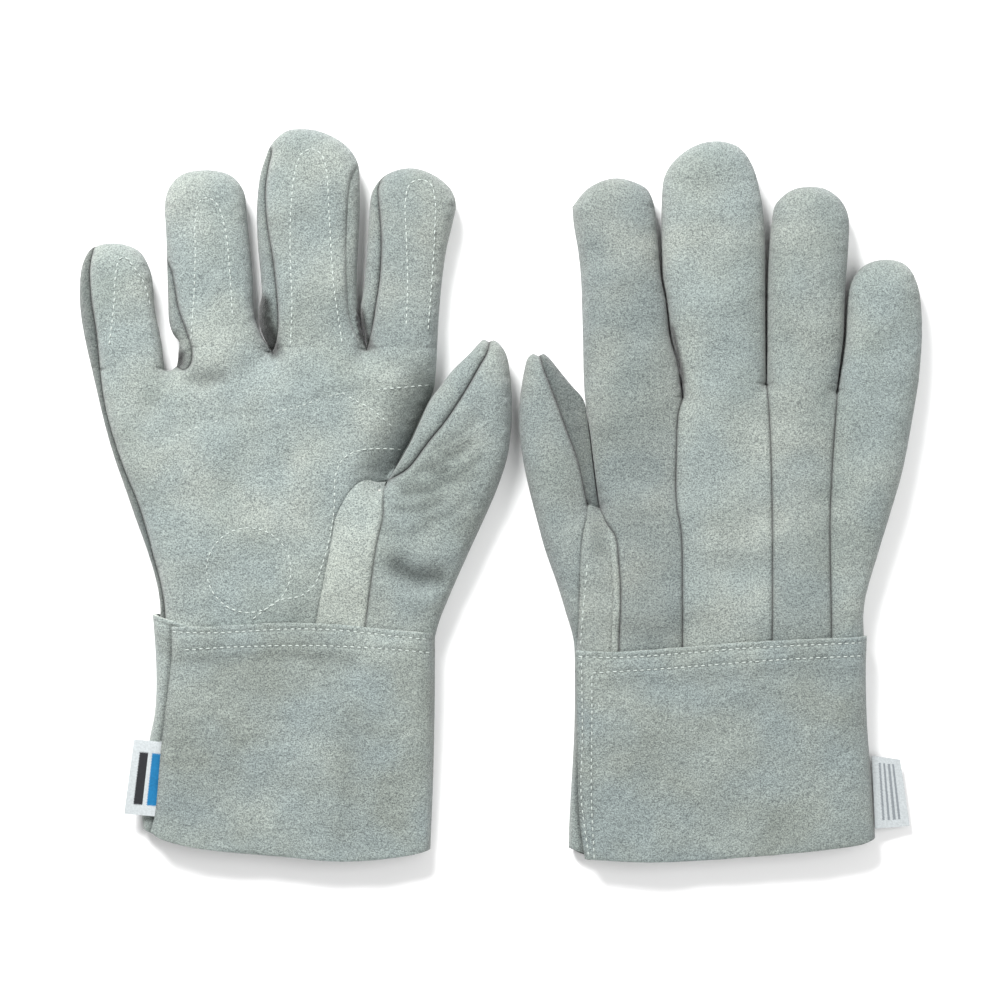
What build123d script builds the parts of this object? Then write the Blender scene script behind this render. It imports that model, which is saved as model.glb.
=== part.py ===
from build123d import *
import os

# A pair of five-finger leather welding gloves lying flat: one palm up, one palm down.
# Units are millimetres. +Z is up, +Y points from the cuffs to the fingertips, +X runs
# across the pair. The origin is under the middle of the pair, on the surface it lies on.

# ---- driving dimensions -------------------------------------------------------------
LEATHER = 1.4        # split leather
LINING = 1.5         # fleece lining
SLACK = 0.1          # between the leather and the lining
THICKNESS = 18.0     # hand and fingers as they lie, outside to outside
CUFF_MOUTH = 12.0    # height of the cuff at its open end
CUFF_LEVEL = 14.0    # length of cuff that stays level before it slopes to the mouth
HINGE_GAP = 0.4      # between the two sides of a hinge
TUCK = 10.0          # how far the hand leather reaches into the cuff
TUCK_LAP = 2.0       # how far that tuck laps the hand leather above or below it
TIP_ROUND = 0.45     # height of a rounded fingertip, in fingertip widths
SEAM_GAP = 0.2       # between neighbouring strips of the back
STRIP = 1.2          # thumb saddle strip and welt
LABEL = 0.6          # woven label
FAR = 400.0          # more than any width or length of the pair

# Each finger: left and right edge of its root, y of its root, tip x and y, tip width.
UPTURNED_FINGERS = {
    "little": (-160.5, -134.0, 43.5, -152.0, 99.5, 28.6),
    "ring": (-127.0, -92.5, 47.5, -116.5, 128.5, 31.0),
    "middle": (-88.5, -54.5, 53.5, -77.0, 144.8, 39.0),
    "index": (-52.8, -26.5, 53.5, -35.5, 129.5, 33.0),
}
DOWNTURNED_FINGERS = {
    "index": (32.8, 70.2, 40.0, 45.5, 125.5, 33.0),
    "middle": (71.6, 104.8, 43.5, 84.0, 140.0, 39.0),
    "ring": (106.0, 132.0, 41.5, 122.0, 122.0, 30.0),
    "little": (133.6, 163.3, 35.5, 152.0, 93.5, 28.6),
}

# Each thumb: its fold line from the crotch to the outer side, its two long sides from
# that line to the start of the rounded tip, and the tip itself.
UPTURNED_THUMB = {
    "fold": ((-45.0, 6.0), (-12.5, -21.5)),
    "outer": ((-7.0, -9.5), (1.5, 12.0), (3.6, 34.0), (2.8, 50.0)),
    "tip": (-4.5, 60.5),
    "inner": ((-13.5, 53.5), (-27.0, 37.5)),
}
DOWNTURNED_THUMB = {
    "fold": ((35.0, -4.0), (17.2, -20.7)),
    "outer": ((9.5, 8.0), (7.2, 30.0), (8.4, 48.0)),
    "tip": (15.0, 56.5),
    "inner": ((23.0, 49.0), (31.0, 37.5), (33.2, 20.0)),
}

# The edge where the cuff overlaps the hand, from left to right.
UPTURNED_WRIST = ((-136.5, -47.5), (-25.0, -53.5))
DOWNTURNED_WRIST = ((29.5, -61.0), (144.5, -55.5))

# Hand outlines, anticlockwise from the right end of the wrist.
UPTURNED_HAND = (
    UPTURNED_WRIST[1], (-19.0, -35.5), UPTURNED_THUMB["fold"][1],
    UPTURNED_THUMB["fold"][0], (-28.0, 38.0), (-26.0, 53.5),
    (-90.5, 53.5), (-90.5, 47.5), (-130.5, 47.5), (-130.5, 43.5), (-161.0, 43.5),
    (-148.5, 2.0), (-137.0, -34.0), UPTURNED_WRIST[0],
)
DOWNTURNED_HAND = (
    DOWNTURNED_WRIST[1], (143.5, -41.0), (149.5, -21.5), (159.5, 14.0), (163.8, 35.5),
    (132.8, 35.5), (132.8, 41.5), (105.4, 41.5), (105.4, 43.5), (70.9, 43.5),
    (70.9, 40.0), (32.3, 40.0), (34.5, 20.0), DOWNTURNED_THUMB["fold"][0],
    DOWNTURNED_THUMB["fold"][1], (23.0, -39.5), DOWNTURNED_WRIST[0],
)

# Cuff outlines, anticlockwise from the left end of the wrist.
UPTURNED_CUFF = (
    UPTURNED_WRIST[0], (-138.5, -96.5), (-142.0, -131.5), (-123.0, -138.5),
    (-84.0, -143.5), (-61.0, -144.8), (-28.0, -141.0), (-28.0, -96.5), UPTURNED_WRIST[1],
)
DOWNTURNED_CUFF = (
    DOWNTURNED_WRIST[0], (28.0, -98.5), (32.5, -144.4), (74.5, -144.8),
    (102.0, -142.5), (142.5, -139.0), (148.5, -135.0), (146.0, -96.5), DOWNTURNED_WRIST[1],
)

# Seams between the strips of the back, each from the finger crotch to the wrist.
UPTURNED_SEAMS = (
    ((-130.5, 45.0), (-119.0, -50.0)),
    ((-90.5, 50.0), (-92.0, -50.0)),
    ((-53.7, 53.0), (-62.0, -50.0)),
)
DOWNTURNED_SEAMS = (
    ((70.9, 44.0), (71.5, -59.0)),
    ((105.4, 43.5), (106.5, -57.0)),
    ((132.8, 35.5), (130.0, -55.0)),
)

# Strips sewn on top, each between two edges from the crotch towards the wrist.
UPTURNED_SADDLE = ((-53.0, 6.0), (-63.0, -4.0), (-67.0, -20.0), (-73.0, -49.0),
                   (-54.5, -49.5), (-50.5, -23.5), (-46.0, 4.5))
DOWNTURNED_SADDLE = ((35.5, -7.0), (32.0, -30.0), (31.0, -56.5), (38.5, -56.5), (38.5, -9.0))
DOWNTURNED_WELT = ((39.5, -12.0), (40.5, -56.5), (44.0, -56.5), (44.5, -27.0), (42.5, -14.0))

# Labels caught in the seam on the little-finger side of each cuff.
UPTURNED_LABEL = ((-139.4, -99.0), (-141.8, -124.0), (-149.0, -124.0), (-145.5, -97.5))
DOWNTURNED_LABEL = ((147.0, -104.0), (148.6, -130.0), (160.0, -133.0), (156.0, -105.5))
LABEL_HEIGHT = 8.0   # of the label above the ground


# ---- flat outlines ------------------------------------------------------------------
def polygon(points):
    return make_face(Polyline(*points, close=True))


def inset(points, distance):
    """The corners of an anticlockwise outline, moved inwards by distance on every side."""
    corners = [Vector(*p) for p in points]
    moved = []
    for before, corner, after in zip(corners[-1:] + corners[:-1], corners, corners[1:] + corners[:1]):
        one = (corner - before).normalized()
        two = (after - corner).normalized()
        normal_one = Vector(-one.Y, one.X)
        normal_two = Vector(-two.Y, two.X)
        mitre = (normal_one + normal_two) / (1 + normal_one.dot(normal_two))
        point = corner + mitre * distance
        moved.append((point.X, point.Y))
    return moved


def rounded(points, distance):
    """A digit's outline, inset by distance, whose last corner is the tip of an arc."""
    corners = inset(points, distance)
    sides = Polyline(*corners[:-1])
    return make_face(sides + ThreePointArc(sides @ 1, corners[-1], sides @ 0))


def straight(points, distance):
    """A hand's or cuff's outline, inset by distance, with straight sides."""
    return polygon(inset(points, distance))


def band(start, end, left, right, trim):
    """A strip along a line, reaching left and right of it, cut short by trim at each end."""
    a = Vector(*start)
    b = Vector(*end)
    along = (b - a).normalized()
    side = Vector(-along.Y, along.X)
    a = a + along * trim
    b = b - along * trim
    return polygon([a - side * right, b - side * right, b + side * left, a + side * left])


def finger_points(spec):
    left, right, root, tip_x, tip_y, width = spec
    shoulder = tip_y - TIP_ROUND * width
    return [
        (tip_x - width / 2, shoulder), (left, root), (right, root),
        (tip_x + width / 2, shoulder), (tip_x, tip_y),
    ]


def thumb_points(spec):
    """Anticlockwise from the inner end of the tip, whichever side the thumb is on."""
    crotch, side = spec["fold"]
    points = [*spec["inner"], crotch, side, *spec["outer"], spec["tip"]]
    if crotch[0] > side[0]:
        points = points[-2::-1] + points[-1:]
    return points


# ---- solids -------------------------------------------------------------------------
def prism(face, low, high):
    return Pos(0, 0, low) * extrude(face, high - low)


def sleeve(shape, points, skin, wall, doors):
    """A closed flat bag lying skin under the outline's surface, open at each door."""
    low = skin
    high = THICKNESS - skin
    bag = prism(shape(points, skin), low, high)
    bag -= prism(shape(points, skin + wall), low + wall, high - wall)
    for opening in doors:
        bag -= prism(opening, low + wall, high - wall)
    return bag


def fold_gap(fold):
    """The clearance on both sides of a fold line."""
    return prism(band(*fold, HINGE_GAP / 2, HINGE_GAP / 2, -3.0), -1.0, THICKNESS + 1.0)


def door(fold, wall):
    """An opening through the wall along a fold line, clear of the walls at its ends."""
    reach = 2 * (LEATHER + SLACK + LINING)
    return band(*fold, reach, reach, wall + 0.2)


def flip(shape):
    """Turns a piece built palm up over, in place, for the glove that lies palm down."""
    return mirror(shape, about=Plane.XY.offset(THICKNESS / 2))


def digit(points, fold, cut):
    """One finger or thumb: its front leather, its back leather with the walls, its lining."""
    skin = LEATHER + SLACK
    bag = sleeve(rounded, points, 0, LEATHER, [door(fold, LEATHER)]) - cut
    front_slab = prism(rounded(points, 0), THICKNESS - LEATHER, THICKNESS)
    lining = sleeve(rounded, points, skin, LINING, [door(fold, skin + LINING)])
    return {"front": bag & front_slab, "back": bag - front_slab, "lining": lining - cut}


def finger(spec):
    """A finger's walls below its tip are strips of their own between front and back."""
    left, right, root, tip_x, tip_y, width = spec
    fold = ((left, root), (right, root))
    shoulder = tip_y - TIP_ROUND * width
    below_tip = polygon([(-FAR, -FAR), (FAR, -FAR), (FAR, shoulder), (-FAR, shoulder)])
    side_zone = prism(below_tip, LEATHER, THICKNESS - LEATHER)
    pieces = digit(finger_points(spec), fold, fold_gap(fold))
    pieces["sides"] = pieces["back"] & side_zone
    pieces["back"] = pieces["back"] - side_zone
    return pieces


def thumb(spec):
    """A thumb has two panels: the front one, and the back one with the walls."""
    crotch_side = (spec["fold"][0], spec["inner"][-1])
    cut = fold_gap(spec["fold"]) + fold_gap(crotch_side)
    return digit(thumb_points(spec), spec["fold"], cut)


def hand(outline, wrist, fingers, thumb_spec, seams, strip_names):
    """Palm leather, four strips of back leather with the side walls, and the lining."""
    folds = [((f[0], f[2]), (f[1], f[2])) for f in fingers.values()] + [thumb_spec["fold"]]
    cut = fold_gap((thumb_spec["fold"][0], thumb_spec["inner"][-1]))
    for fold in folds:
        cut += fold_gap(fold)
    edges = folds + [wrist]
    bag = sleeve(straight, outline, 0, LEATHER, [door(e, LEATHER) for e in edges]) - cut

    tuck = band(*wrist, TUCK_LAP, TUCK, 2 * LEATHER)
    palm_tuck = prism(tuck, THICKNESS - 2 * LEATHER, THICKNESS - LEATHER)
    back_tuck = prism(tuck, LEATHER, 2 * LEATHER)
    palm_slab = prism(polygon(outline), THICKNESS - LEATHER, THICKNESS)
    pieces = {"palm": (bag & palm_slab) + palm_tuck}
    back = (bag - palm_slab) + back_tuck
    left = [(-FAR, FAR), (-FAR, -FAR)]
    for name, seam in zip(strip_names, list(seams) + [None]):
        right = seam_edge(seam) if seam else [(FAR, FAR), (FAR, -FAR)]
        zone = polygon([left[0], left[1], right[1], right[0]])
        strip = back & prism(zone, -1.0, THICKNESS + 1.0)
        pieces["back_" + name] = max(strip.solids(), key=lambda solid: solid.volume)
        left = [(x + SEAM_GAP, y) for x, y in right]

    skin = LEATHER + SLACK
    openings = [door(e, skin + LINING) for e in edges]
    lining = sleeve(straight, outline, skin, LINING, openings)
    end = prism(band(*wrist, 2 * TUCK_LAP, TUCK, -3.0), 0, THICKNESS)
    pieces["hand_lining"] = lining - cut - end
    return pieces


def seam_edge(seam):
    """A seam line stretched past both ends of the hand."""
    top = Vector(*seam[0])
    bottom = Vector(*seam[1])
    run = (top - bottom).normalized()
    high = top + run * 60
    low = bottom - run * 60
    return [(high.X, high.Y), (low.X, low.Y)]


def cuff(outline, wrist):
    """The upper and the lower piece of a cuff: a tube that slopes down to its mouth."""
    level_end = (wrist[0][1] + wrist[1][1]) / 2 - CUFF_LEVEL
    mouth_y = min(y for x, y in outline)
    mouth_xs = [x for x, y in outline if y < level_end - CUFF_LEVEL * 4]
    mouth_left = min(mouth_xs) + 1.5 * LEATHER
    mouth_right = max(mouth_xs) - 1.5 * LEATHER
    mouth = polygon([
        (mouth_left, mouth_y - CUFF_LEVEL), (mouth_right, mouth_y - CUFF_LEVEL),
        (mouth_right, mouth_y + CUFF_LEVEL), (mouth_left, mouth_y + CUFF_LEVEL),
    ])

    def above(drop):
        """Everything over the cuff's sloping top surface, lowered by drop."""
        line = [
            (FAR, THICKNESS - drop), (level_end, THICKNESS - drop), (mouth_y, CUFF_MOUTH - drop),
            (mouth_y - CUFF_LEVEL, CUFF_MOUTH - drop), (mouth_y - CUFF_LEVEL, FAR), (FAR, FAR),
        ]
        return extrude(Plane.YZ * polygon(line), FAR, both=True)

    cavity = prism(straight(outline, LEATHER), LEATHER, THICKNESS)
    cavity += prism(mouth, LEATHER, THICKNESS)
    cavity += prism(door(wrist, LEATHER), LEATHER, THICKNESS)
    cavity -= above(LEATHER)
    tube = prism(polygon(outline), 0, THICKNESS) - above(0) - cavity
    return {"upper": tube & above(LEATHER), "lower": tube - above(LEATHER)}


# ---- the pair -----------------------------------------------------------------------
def upturned_glove():
    """The glove that lies palm up, thumb to the right."""
    names = ("little", "ring", "middle", "index")
    pieces = hand(
        UPTURNED_HAND, UPTURNED_WRIST, UPTURNED_FINGERS, UPTURNED_THUMB, UPTURNED_SEAMS, names
    )
    for name, spec in UPTURNED_FINGERS.items():
        pieces.update({f"{name}_{part}": solid for part, solid in finger(spec).items()})
    pieces.update({f"thumb_{part}": solid for part, solid in thumb(UPTURNED_THUMB).items()})
    tube = cuff(UPTURNED_CUFF, UPTURNED_WRIST)
    pieces["cuff_palm_side"] = tube["upper"]
    pieces["cuff_back_side"] = tube["lower"]
    pieces["saddle_strip"] = prism(polygon(UPTURNED_SADDLE), THICKNESS, THICKNESS + STRIP)
    pieces["label"] = prism(polygon(UPTURNED_LABEL), LABEL_HEIGHT, LABEL_HEIGHT + LABEL)
    return pieces


def downturned_glove():
    """The glove that lies palm down, thumb to the left."""
    names = ("index", "middle", "ring", "little")
    pieces = hand(
        DOWNTURNED_HAND, DOWNTURNED_WRIST, DOWNTURNED_FINGERS, DOWNTURNED_THUMB,
        DOWNTURNED_SEAMS, names,
    )
    for name, spec in DOWNTURNED_FINGERS.items():
        pieces.update({f"{name}_{part}": solid for part, solid in finger(spec).items()})
    pieces.update({f"thumb_{part}": solid for part, solid in thumb(DOWNTURNED_THUMB).items()})
    pieces = {name: flip(solid) for name, solid in pieces.items()}
    tube = cuff(DOWNTURNED_CUFF, DOWNTURNED_WRIST)
    pieces["cuff_back_side"] = tube["upper"]
    pieces["cuff_palm_side"] = tube["lower"]
    pieces["saddle_strip"] = prism(polygon(DOWNTURNED_SADDLE), THICKNESS, THICKNESS + STRIP)
    pieces["thumb_welt"] = prism(polygon(DOWNTURNED_WELT), THICKNESS, THICKNESS + STRIP)
    pieces["label"] = prism(polygon(DOWNTURNED_LABEL), LABEL_HEIGHT, LABEL_HEIGHT + LABEL)
    return pieces


os.makedirs("parts", exist_ok=True)
for glove, pieces in (("upturned", upturned_glove()), ("downturned", downturned_glove())):
    for name, solid in pieces.items():
        solids = solid.solids()
        shape = solids[0] if len(solids) == 1 else Compound(children=solids)
        export_step(shape, f"parts/{glove}_{name}.step")
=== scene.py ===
"""Two split-leather welding gloves lying flat: one palm up, one palm down.

Outlines, heights and stitch lines below are in millimetres, in the frame's own axes. Every mesh
goes into Blender in metres.
"""

import math

import bpy
import numpy as np
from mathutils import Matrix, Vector
from mathutils.geometry import delaunay_2d_cdt


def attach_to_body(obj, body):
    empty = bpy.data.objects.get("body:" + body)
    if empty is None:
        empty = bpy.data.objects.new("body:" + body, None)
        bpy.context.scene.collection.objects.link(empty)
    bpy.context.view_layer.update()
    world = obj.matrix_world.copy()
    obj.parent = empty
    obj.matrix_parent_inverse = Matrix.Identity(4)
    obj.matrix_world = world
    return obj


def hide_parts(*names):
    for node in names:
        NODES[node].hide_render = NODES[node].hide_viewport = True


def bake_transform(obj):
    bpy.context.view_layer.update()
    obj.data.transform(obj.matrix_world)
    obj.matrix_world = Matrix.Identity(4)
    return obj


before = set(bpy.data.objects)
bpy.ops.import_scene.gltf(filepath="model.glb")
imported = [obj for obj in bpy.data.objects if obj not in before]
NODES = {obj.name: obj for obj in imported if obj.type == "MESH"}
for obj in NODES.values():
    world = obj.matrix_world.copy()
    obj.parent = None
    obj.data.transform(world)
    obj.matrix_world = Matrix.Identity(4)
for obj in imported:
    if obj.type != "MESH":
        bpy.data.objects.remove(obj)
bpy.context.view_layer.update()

MM = 0.001
PANEL_THICK = 1.2      # thickness of a panel's leather
CUFF_THICK = 1.25      # thickness of a cuff's leather
FLEECE_THICK = 1.0     # thickness of the lining
LABEL_THICK = 0.4      # thickness of a label's tape
TOP = 18.6             # height of the hand as it lies
MIDDLE = 8.6           # height of the widest contour of hand and fingers
EDGE = 7.0             # how far the rounding of an upper edge reaches in
UNDER_EDGE = 3.2       # the same on the underside, which lies on the table
SPACING = 1.7          # between mesh points inside a panel of the upper side
UNDER_SPACING = 2.8    # the same on the underside
LINING_SPACING = 4.5   # the same in the lining
LINING_DEPTH = 2.4     # from the leather's outer face to the lining's outer face
LINING_CLEAR = 1.4     # least height between the lining's outer face and the leather's
EDGE_CLEAR = 2.6       # least distance between the lining and the glove's outline
ON_LINE = 0.01         # a point this close to a line lies on it
SLIVER = 40            # square mm that a patch without a seed of its own may have
SEED = 7
UP = "upturned"
DOWN = "downturned"


# ---- curves -------------------------------------------------------------------------
def smooth(points, step=1.3):
    """A centripetal Catmull-Rom curve through the points, sampled about every step."""
    p = np.array(points, float)
    if len(p) < 3:
        count = max(2, int(np.linalg.norm(p[1] - p[0]) / step) + 1)
        return p[0] + (p[1] - p[0]) * np.linspace(0, 1, count)[:, None]
    p = np.vstack([2 * p[0] - p[1], p, 2 * p[-1] - p[-2]])
    out = []
    for a, b, c, d in zip(p, p[1:], p[2:], p[3:]):
        knots = [0.0]
        for one, two in ((a, b), (b, c), (c, d)):
            knots.append(knots[-1] + max(np.linalg.norm(two - one), 1e-6) ** 0.5)
        count = max(2, int(round(np.linalg.norm(c - b) / step)))
        t = np.linspace(knots[1], knots[2], count, endpoint=False)[:, None]
        k0, k1, k2, k3 = knots
        a1 = (k1 - t) / (k1 - k0) * a + (t - k0) / (k1 - k0) * b
        a2 = (k2 - t) / (k2 - k1) * b + (t - k1) / (k2 - k1) * c
        a3 = (k3 - t) / (k3 - k2) * c + (t - k2) / (k3 - k2) * d
        b1 = (k2 - t) / (k2 - k0) * a1 + (t - k0) / (k2 - k0) * a2
        b2 = (k3 - t) / (k3 - k1) * a2 + (t - k1) / (k3 - k1) * a3
        out.append((k2 - t) / (k2 - k1) * b1 + (t - k1) / (k2 - k1) * b2)
    out.append(p[-2:-1])
    return np.vstack(out)


def outline(*stretches):
    """A closed outline of smooth stretches that meet in sharp corners."""
    parts = [smooth(s)[:-1] for s in stretches]
    return np.vstack(parts)


def distance(points, line, closed=False):
    """Distance from each point to a line of short straight runs."""
    a = np.asarray(line, float)
    b = np.roll(a, -1, axis=0) if closed else a[1:]
    a = a if closed else a[:-1]
    run = b - a
    length = np.maximum((run ** 2).sum(1), 1e-9)
    best = np.empty(len(points))
    for start in range(0, len(points), 3000):
        p = points[start:start + 3000]
        along = ((p[:, None] - a) * run).sum(2) / length
        foot = a + np.clip(along, 0, 1)[..., None] * run
        best[start:start + 3000] = np.sqrt(((p[:, None] - foot) ** 2).sum(2)).min(1)
    return best


def inside(points, loop):
    """Which points lie inside a closed outline."""
    x, y = points[:, 0:1], points[:, 1:2]
    x1, y1 = loop[:, 0], loop[:, 1]
    x2, y2 = np.roll(x1, -1), np.roll(y1, -1)
    crosses = ((y1 > y) != (y2 > y)) & (x < (x2 - x1) * (y - y1) / (y2 - y1 + 1e-12) + x1)
    return crosses.sum(1) % 2 == 1


def normals_of(line):
    """Unit normals on the left of a line, at its points."""
    run = np.gradient(line, axis=0)
    run /= np.maximum(np.linalg.norm(run, axis=1), 1e-9)[:, None]
    return np.column_stack([-run[:, 1], run[:, 0]])


def ripple(x, y, size, seed, count=14):
    """A smooth random surface between about -1 and 1, with hills about size wide."""
    rng = np.random.default_rng(seed)
    total = np.zeros_like(x)
    for _ in range(count):
        angle = rng.uniform(0, math.pi)
        wave = size * rng.uniform(0.7, 1.6)
        phase = rng.uniform(0, 2 * math.pi)
        total += np.sin(2 * math.pi * (x * math.cos(angle) + y * math.sin(angle)) / wave + phase)
    return total / math.sqrt(count)


# ---- surfaces -----------------------------------------------------------------------
RINGS = (0.12, 0.45, 1.0, 1.9, 3.0)        # rows of points just inside an outline
LINING_RINGS = (1.2, 3.2)                  # the same for the lining


def triangulate(loop, lines, spacing, rings=RINGS):
    """Points and triangles inside an outline, with an edge along every line given.

    Also returns, for each triangle edge that lies on a line, that line's index."""
    rng = np.random.default_rng(SEED)
    points = [loop]
    count = len(loop)
    edges = [(i, (i + 1) % count) for i in range(count)]
    owner = [-1] * count
    for index, line in enumerate(lines):
        start = sum(len(q) for q in points)
        points.append(line)
        edges += [(start + i, start + i + 1) for i in range(len(line) - 1)]
        owner += [index] * (len(line) - 1)
    free = []
    shift = normals_of(np.vstack([loop[-1], loop, loop[0]]))[1:-1]
    for reach in rings:
        for sign in (-1, 1):
            ring = loop + shift * reach * sign
            ring = ring[inside(ring, loop)]
            if len(ring):
                free.append(ring[distance(ring, loop, True) > 0.93 * reach])
    for line in lines:
        shift = normals_of(line)
        for reach in (0.4, 1.0, 2.0):
            for sign in (-1, 1):
                side = line + shift * reach * sign
                near = np.min([distance(side, other) for other in lines], axis=0)
                side = side[(near > 0.93 * reach) & inside(side, loop)]
                if len(side):
                    free.append(side[distance(side, loop, True) > 0.8])
    low, high = loop.min(0), loop.max(0)
    rows = np.arange(low[1], high[1], spacing * 0.866)
    columns = np.arange(low[0], high[0], spacing)
    grid = np.array([(x + (i % 2) * spacing / 2, y) for i, y in enumerate(rows) for x in columns])
    grid += rng.uniform(-0.12, 0.12, grid.shape) * spacing
    grid = grid[inside(grid, loop)]
    keep = distance(grid, loop, True) > rings[-1] + 0.5 * spacing
    for line in lines:
        keep &= distance(grid, line) > 2.0 + 0.4 * spacing
    free.append(grid[keep])
    points += free
    flat = np.vstack(points)
    result = delaunay_2d_cdt([Vector(p) for p in flat], edges, [list(range(count))], 1, 1e-5)
    verts = np.array([(v.x, v.y) for v in result[0]])
    on_line = {}
    for edge, origins in zip(result[1], result[4]):
        found = [owner[o] for o in origins if o < len(owner) and owner[o] >= 0]
        if found:
            on_line[tuple(sorted(edge))] = found[0]
    faces = [tuple(f) for f, origin in zip(result[2], result[5]) if origin]
    return verts, faces, on_line


def patches(faces, walls):
    """A patch number for each triangle; patches are divided by the wall edges."""
    beside = {}
    for index, face in enumerate(faces):
        for a, b in zip(face, face[1:] + face[:1]):
            beside.setdefault(tuple(sorted((a, b))), []).append(index)
    linked = [[] for _ in faces]
    for edge, pair in beside.items():
        if len(pair) == 2 and edge not in walls:
            linked[pair[0]].append(pair[1])
            linked[pair[1]].append(pair[0])
    label = np.full(len(faces), -1)
    current = 0
    for start in range(len(faces)):
        if label[start] >= 0:
            continue
        stack = [start]
        label[start] = current
        while stack:
            for other in linked[stack.pop()]:
                if label[other] < 0:
                    label[other] = current
                    stack.append(other)
        current += 1
    return label


def vertex_normals(verts, faces):
    a, b, c = (verts[faces[:, i]] for i in range(3))
    face_normals = np.cross(b - a, c - a)
    total = np.zeros_like(verts)
    for i in range(3):
        np.add.at(total, faces[:, i], face_normals)
    return total / np.maximum(np.linalg.norm(total, axis=1), 1e-12)[:, None]


def relax(verts, faces, fixed, rounds=4, pull=0.5):
    """Evens out small ridges in height, leaving the fixed points where they are."""
    a = np.concatenate([faces[:, 0], faces[:, 1], faces[:, 2]])
    b = np.concatenate([faces[:, 1], faces[:, 2], faces[:, 0]])
    ends = np.concatenate([a, b])
    others = np.concatenate([b, a])
    count = np.maximum(np.bincount(ends, minlength=len(verts)), 1)
    for _ in range(rounds):
        mean = np.bincount(ends, weights=verts[others, 2], minlength=len(verts)) / count
        verts[:, 2] = np.where(fixed, verts[:, 2], verts[:, 2] * (1 - pull) + mean * pull)
    return verts


# ---- pieces -------------------------------------------------------------------------
def shell(verts, faces, normals, thickness):
    """A closed sheet: the given surface, its inner copy and a rim round every free edge."""
    count = len(verts)
    inner = verts - normals * thickness
    sides = {}
    for face in faces:
        for a, b in ((face[0], face[1]), (face[1], face[2]), (face[2], face[0])):
            if (b, a) in sides:
                del sides[(b, a)]
            else:
                sides[(a, b)] = True
    rim = []
    for a, b in sides:
        rim.append((b, a, a + count))
        rim.append((b, a + count, b + count))
    back = [(f[0] + count, f[2] + count, f[1] + count) for f in faces]
    return np.vstack([verts, inner]), [tuple(f) for f in faces], back, rim


def add_piece(name, verts, faces, normals, material, thickness=0.0, painted_shade=None, tone_and_shade=1.0):
    """A mesh object from points in mm, with its rest place and painted shade kept as attributes.
    """
    faces = np.asarray(faces)
    used, packed = np.unique(faces, return_inverse=True)
    faces = packed.reshape(-1, 3)
    verts, normals = verts[used], normals[used]
    painted_shade = np.zeros(len(verts)) if painted_shade is None else painted_shade[used]
    tone_and_shade = np.full(len(verts), tone_and_shade, np.float32) if np.isscalar(tone_and_shade) else tone_and_shade[used]
    front = [tuple(int(i) for i in f) for f in faces]
    every = front
    smooth_count = len(front)
    if thickness:
        verts, front, back, rim = shell(verts, front, normals, thickness)
        normals = np.vstack([normals, -normals])
        painted_shade = np.concatenate([painted_shade, painted_shade])
        tone_and_shade = np.concatenate([tone_and_shade, tone_and_shade])
        every = front + back + rim
        smooth_count = len(front) + len(back)
    mesh = bpy.data.meshes.new(name)
    mesh.from_pydata((verts * MM).tolist(), [], [tuple(int(i) for i in f) for f in every])
    shading = np.zeros(len(every), bool)
    shading[:smooth_count] = True
    mesh.polygons.foreach_set("use_smooth", shading)
    for kept, kind, field, values in (("rest", "FLOAT_VECTOR", "vector", verts * MM),
                                      ("painted_shade", "FLOAT", "value", np.clip(painted_shade, 0, 1)),
                                      ("tone_and_shade", "FLOAT", "value", tone_and_shade)):
        attribute = mesh.attributes.new(kept, kind, "POINT")
        attribute.data.foreach_set(field, values.astype(np.float32).ravel())
    loops = np.array([i for f in every for i in f])
    custom = normals[loops]
    custom[smooth_count * 3:] = 0
    mesh.normals_split_custom_set(custom.tolist())
    mesh.materials.append(material)
    piece = bpy.data.objects.new(name, mesh)
    bpy.context.scene.collection.objects.link(piece)
    return piece


# ---- materials ----------------------------------------------------------------------
def node(tree, kind, **settings):
    made = tree.nodes.new(kind)
    for key, value in settings.items():
        setattr(made, key, value)
    return made


def fill(made, values):
    """Sets inputs of a node by their names."""
    for name, value in values.items():
        made.inputs[name].default_value = value
    return made


def noise(tree, place, scale, detail, rough):
    made = fill(node(tree, "ShaderNodeTexNoise"),
                {"Scale": scale, "Detail": detail, "Roughness": rough})
    tree.links.new(place, made.inputs["Vector"])
    return made.outputs["Fac"]


def ramp(tree, value, stops):
    made = node(tree, "ShaderNodeValToRGB")
    elements = made.color_ramp.elements
    while len(elements) < len(stops):
        elements.new(0.5)
    for element, (position, colour) in zip(elements, stops):
        element.position = position
        element.color = (*colour, 1)
    tree.links.new(value, made.inputs["Fac"])
    return made.outputs["Color"]


def mix(tree, kind, factor, a, b):
    made = node(tree, "ShaderNodeMix", data_type="RGBA", blend_type=kind)
    for socket, value in (("Factor_Float", factor), ("A_Color", a), ("B_Color", b)):
        slot = next(s for s in made.inputs if s.identifier == socket)
        if isinstance(value, (int, float)):
            slot.default_value = value
        elif isinstance(value, tuple):
            slot.default_value = (*value, 1)
        else:
            tree.links.new(value, slot)
    return next(s for s in made.outputs if s.identifier == "Result_Color")


def new_material(name):
    material = bpy.data.materials.new(name)
    material.use_nodes = True
    tree = material.node_tree
    return material, tree, tree.nodes["Principled BSDF"]


def rest_place(tree):
    return node(tree, "ShaderNodeAttribute", attribute_name="rest").outputs["Vector"]


def cloth(tree, shader, colour, rough, shine, sheen):
    """Gives a shader its colour and the dull look of cloth or leather."""
    tree.links.new(colour, shader.inputs["Base Color"])
    fill(shader, {"Roughness": rough, "Specular IOR Level": shine, "Sheen Weight": sheen})


def relief(tree, shader, height, strength, depth):
    """Gives a shader small bumps from a height value."""
    bump = fill(node(tree, "ShaderNodeBump"), {"Strength": strength, "Distance": depth})
    tree.links.new(height, bump.inputs["Height"])
    tree.links.new(bump.outputs["Normal"], shader.inputs["Normal"])


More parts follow.
